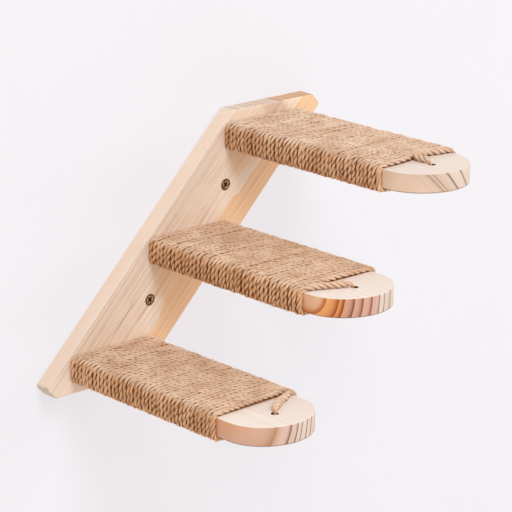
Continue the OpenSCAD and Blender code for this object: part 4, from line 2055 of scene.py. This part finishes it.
CREAM, GREY = (226, 205, 190), (144, 122, 102)
STEP_WOODS: dict[str, dict[str, Any]] = {
    "top": {
        "rope_edge": 206.0,
        "rope_dip": 7.5,
        "pale": srgb(227, 213, 202),
        "pith": (-245.0, -199.0),
        "rings": ring_set(
            (294.2, 0.4, 4.0), (300.9, 0.8, 5.0), (303.8, 0.75, 2.2), (313.5, 1.0, 3.4),
            (316.0, 0.3, 2.0), (325.6, 1.0, 3.0), (328.0, 0.4, 1.5),
        ),
        "zones": zone_set(
            (270.0, (248, 216, 192), GREY),
            (292.0, (228, 198, 174), GREY),
            (304.0, (212, 184, 162), (96, 70, 50)),
            (318.0, CREAM, (96, 74, 58)),
        ),
    },
    "middle": {
        "rope_edge": 202.0,
        "pith": (-90.0, 10.0),
        "rings": ring_set(
            (49.0, 1.0, 3.4), (55.4, 1.0), (59.0, 1.0), (66.7, 1.0), (74.4, 1.0),
            (83.0, 1.0, 6.0), (91.9, 1.0, 5.0), (99.1, 1.0, 3.4), (110.0, 0.9),
        ),
        "zones": zone_set(
            (40.0, (244, 198, 168), (206, 122, 66)),
            (47.0, (240, 190, 152), (196, 106, 46)),
            (50.0, (244, 172, 104), (184, 92, 34)),
            (58.0, (224, 140, 78), (118, 50, 16)),
            (61.0, (218, 162, 134), (104, 40, 20)),
            (86.0, (214, 168, 148), (100, 50, 32)),
            (93.0, CREAM, (120, 98, 84)),
        ),
    },
    "bottom": {
        "rope_edge": 198.3,
        "pith": (-90.0, 22.0),
        "rings": ring_set(
            (71.1, 1.0), (84.1, 1.0, 5.4), (91.2, 1.0, 3.2), (96.9, 0.95, 2.8),
            (104.4, 1.0, 3.0), (111.8, 1.0, 3.0), (121.8, 1.0, 3.0),
        ),
        "zones": zone_set(
            (46.0, (234, 174, 136), (204, 132, 88)),
            (56.0, (224, 180, 154), (196, 140, 100)),
            (72.0, (204, 164, 138), (178, 124, 84)),
            (76.0, (220, 186, 166), (130, 74, 46)),
            (86.0, (218, 186, 168), (88, 50, 32)),
            (98.0, CREAM, (100, 70, 52)),
        ),
    },
}
# Warm tone of the painted shadow on the plank under the top and middle steps.
PAINTED_SHADOW_TONE = srgb(243, 198, 146)
PLANK_WOOD: dict[str, Any] = {
    "pith": (-170.0, 30.0),
    "spacing": 4.6,
    "wander": 1.6,
    "uneven": 2.4,
    "late_share": 0.55,
    "edge": 0.4,
    "whole_rim": False,
    "end_range": (0.3, 0.65),
    "heart_side": (16.5, 23.4),
    "face_lines": 0.95,
    "side_tone": (1.02, 0.985, 0.995, 1.0),
    "pale": srgb(247, 228, 208),
    "late": srgb(208, 164, 138),
    "heart_pale": srgb(244, 204, 162),
    "zones": zone_set(
        (166.0, (222, 205, 190), (176, 136, 108)),
        (172.0, (218, 184, 162), (176, 136, 108)),
        (176.0, (212, 172, 138), (170, 122, 88)),
    ),
    "streaks": (
        Streak(-15.0, -98.0, 0.0, 26.0, 0.9, 0.55),
        Streak(4.0, -60.0, 0.03, 14.0, 0.9, 0.25),
        Streak(-43.0, 0.0, 0.0, 400.0, 20.0, 0.08),
        # Painted shadow: warm patches on the plank under the top and middle steps.
        Streak(-4.0, 99.0, 0.0, 24.0, 20.0, 0.5, PAINTED_SHADOW_TONE),
        Streak(8.0, -40.0, 0.0, 26.0, 26.0, 0.6, PAINTED_SHADOW_TONE),
        Streak(4.0, 158.0, 0.0, 18.0, 26.0, 0.35, srgb(176, 124, 88)),
    ),
}
STEP_ROPES: dict[str, dict[str, Any]] = {
    "top": {
        "turns": 40,
        "last_out": 207.5,
        "start_out": 6.14,
        "rises": Side.RIGHT,
        "route": (
            (34.0, 205.4), (25.0, 202.6), (17.0, 201.2), (9.0, 201.6),
            (3.2, 203.2), (-0.2, 205.6), (-0.7, 210.0), (-0.4, 216.0),
        ),
        "dip": 7.5,
        "seed": 11,
    },
    "middle": {
        "turns": 39,
        "last_out": 203.4,
        "start_out": 5.92,
        "rises": Side.LEFT,
        "route": ((40.1, 205.5), (32.7, 208.1), (20.3, 214.4), (12.0, 218.6), (6.0, 221.8)),
        "lead": 1.2,
        "seed": 23,
    },
    "bottom": {
        "turns": 38,
        "last_out": 199.8,
        "start_out": 5.71,
        "rises": Side.RIGHT,
        "route": ((33.7, 205.0), (21.0, 210.7), (9.0, 217.5)),
        "seed": 37,
        "side_ply": 0.6,
        "side_open": 0.45,
        "top_gap": 0.75,
    },
}
BRASS = Metal("antique_brass", srgb(92, 62, 30), srgb(225, 188, 142), srgb(58, 40, 24), 0.36)
ZINC = Metal("bright_zinc", srgb(176, 178, 180), srgb(222, 222, 220), srgb(150, 150, 146), 0.3)
WALL_SCREW = {"length": 60.0, "shank_radius": 3.0, "head_radius": 5.5}
STEP_SCREW = {"length": 50.0, "shank_radius": 2.0, "head_radius": 4.0}
STEP_SCREW |= {"thread_pitch": 1.8, "thread_depth": 0.2}
WALL_SCREW_TURNS = {"upper": 45.0, "lower": 38.0}
STEP_SCREW_TURNS = {Side.LEFT: -5.0, Side.RIGHT: 45.0}
HEAD_PROUD = 0.3


@dataclass
class CatLadder:
    """The plank, the steps with their ropes, and the screws and plugs."""

    layout: Layout
    groups: Groups

    def step_places(self) -> dict[str, float]:
        """Returns how far along the plank each step lies."""
        return {"top": self.layout.pitch, "middle": 0.0, "bottom": -self.layout.pitch}

    def build_boards(self) -> None:
        """Builds the plank, whose grain runs along it, and the steps, whose grain runs out."""
        sine, cosine = float(np.sin(self.layout.lean)), float(np.cos(self.layout.lean))
        axes = ((sine, 0, -cosine), (0, -1, 0), (cosine, 0, sine))
        pine = Pine("pine_plank", (0, 0, 0), *axes, **PLANK_WOOD)
        BackPlank(self.layout).build(pine.material(self.groups))
        for word, along in self.step_places().items():
            origin = tuple(self.layout.step_origin(along).tolist())
            name = f"pine_{word}_step"
            pine = Pine(name, origin, (1, 0, 0), (0, 0, 1), (0, -1, 0), **STEP_WOODS[word])
            step = StepBoard(name, f"{word}_step", self.layout, along, STEP_ROPES[word]["start_out"])
            step.build(pine.material(self.groups))

    def build_ropes(self) -> None:
        """Builds the three windings with their loose fibres."""
        finish = Jute("natural_jute").material(self.groups)
        for word, along in self.step_places().items():
            name, node = f"jute_{word}_winding", f"{word}_rope"
            RopeWinding(name, node, self.layout, along, **STEP_ROPES[word]).build(finish)

    def build_fixings(self) -> None:
        """Builds the wall screws, their plugs and the step screws."""
        brass, zinc, nylon = (kind.material(self.groups) for kind in (BRASS, ZINC, Nylon("grey_nylon")))
        layout = self.layout
        for word, along in (("upper", layout.pitch / 2), ("lower", -layout.pitch / 2)):
            x, front, z = layout.step_origin(along).tolist()
            face = (x, front + HEAD_PROUD, z)
            tail = f"{word}_wall_screw"
            screw = CrossScrew(f"brass_{tail}", tail, face, True, turn=WALL_SCREW_TURNS[word], **WALL_SCREW)
            screw.build(brass, Slot.BRASS)
            WallPlug(f"nylon_{word}_wall_plug", f"{word}_wall_plug", (x, z)).build(nylon)
        for word, along in self.step_places().items():
            x, _, z = layout.step_origin(along).tolist()
            for side in Side:
                tail = f"{word}_step_{side.name.lower()}_screw"
                face = (x + side.value * layout.step_screw_gap / 2, -HEAD_PROUD, z)
                turn = STEP_SCREW_TURNS[side]
                screw = CrossScrew(f"zinc_{tail}", tail, face, False, turn=turn, **STEP_SCREW)
                screw.build(zinc, Slot.ZINC)


def main() -> None:
    """Builds the stage, the boards, the ropes and the fixings, in that order."""
    logging.basicConfig(level=logging.INFO, format="%(name)s %(message)s")
    bpy.context.scene.view_settings.view_transform = "Standard"
    PhotoView().build()
    Studio().build()
    groups = Groups(board_frame_group(), growth_rings_group(), fibre_group(), wear_group())
    ladder = CatLadder(Layout(), groups)
    ladder.build_boards()
    ladder.build_ropes()
    ladder.build_fixings()


if __name__ == "__main__":
    main()
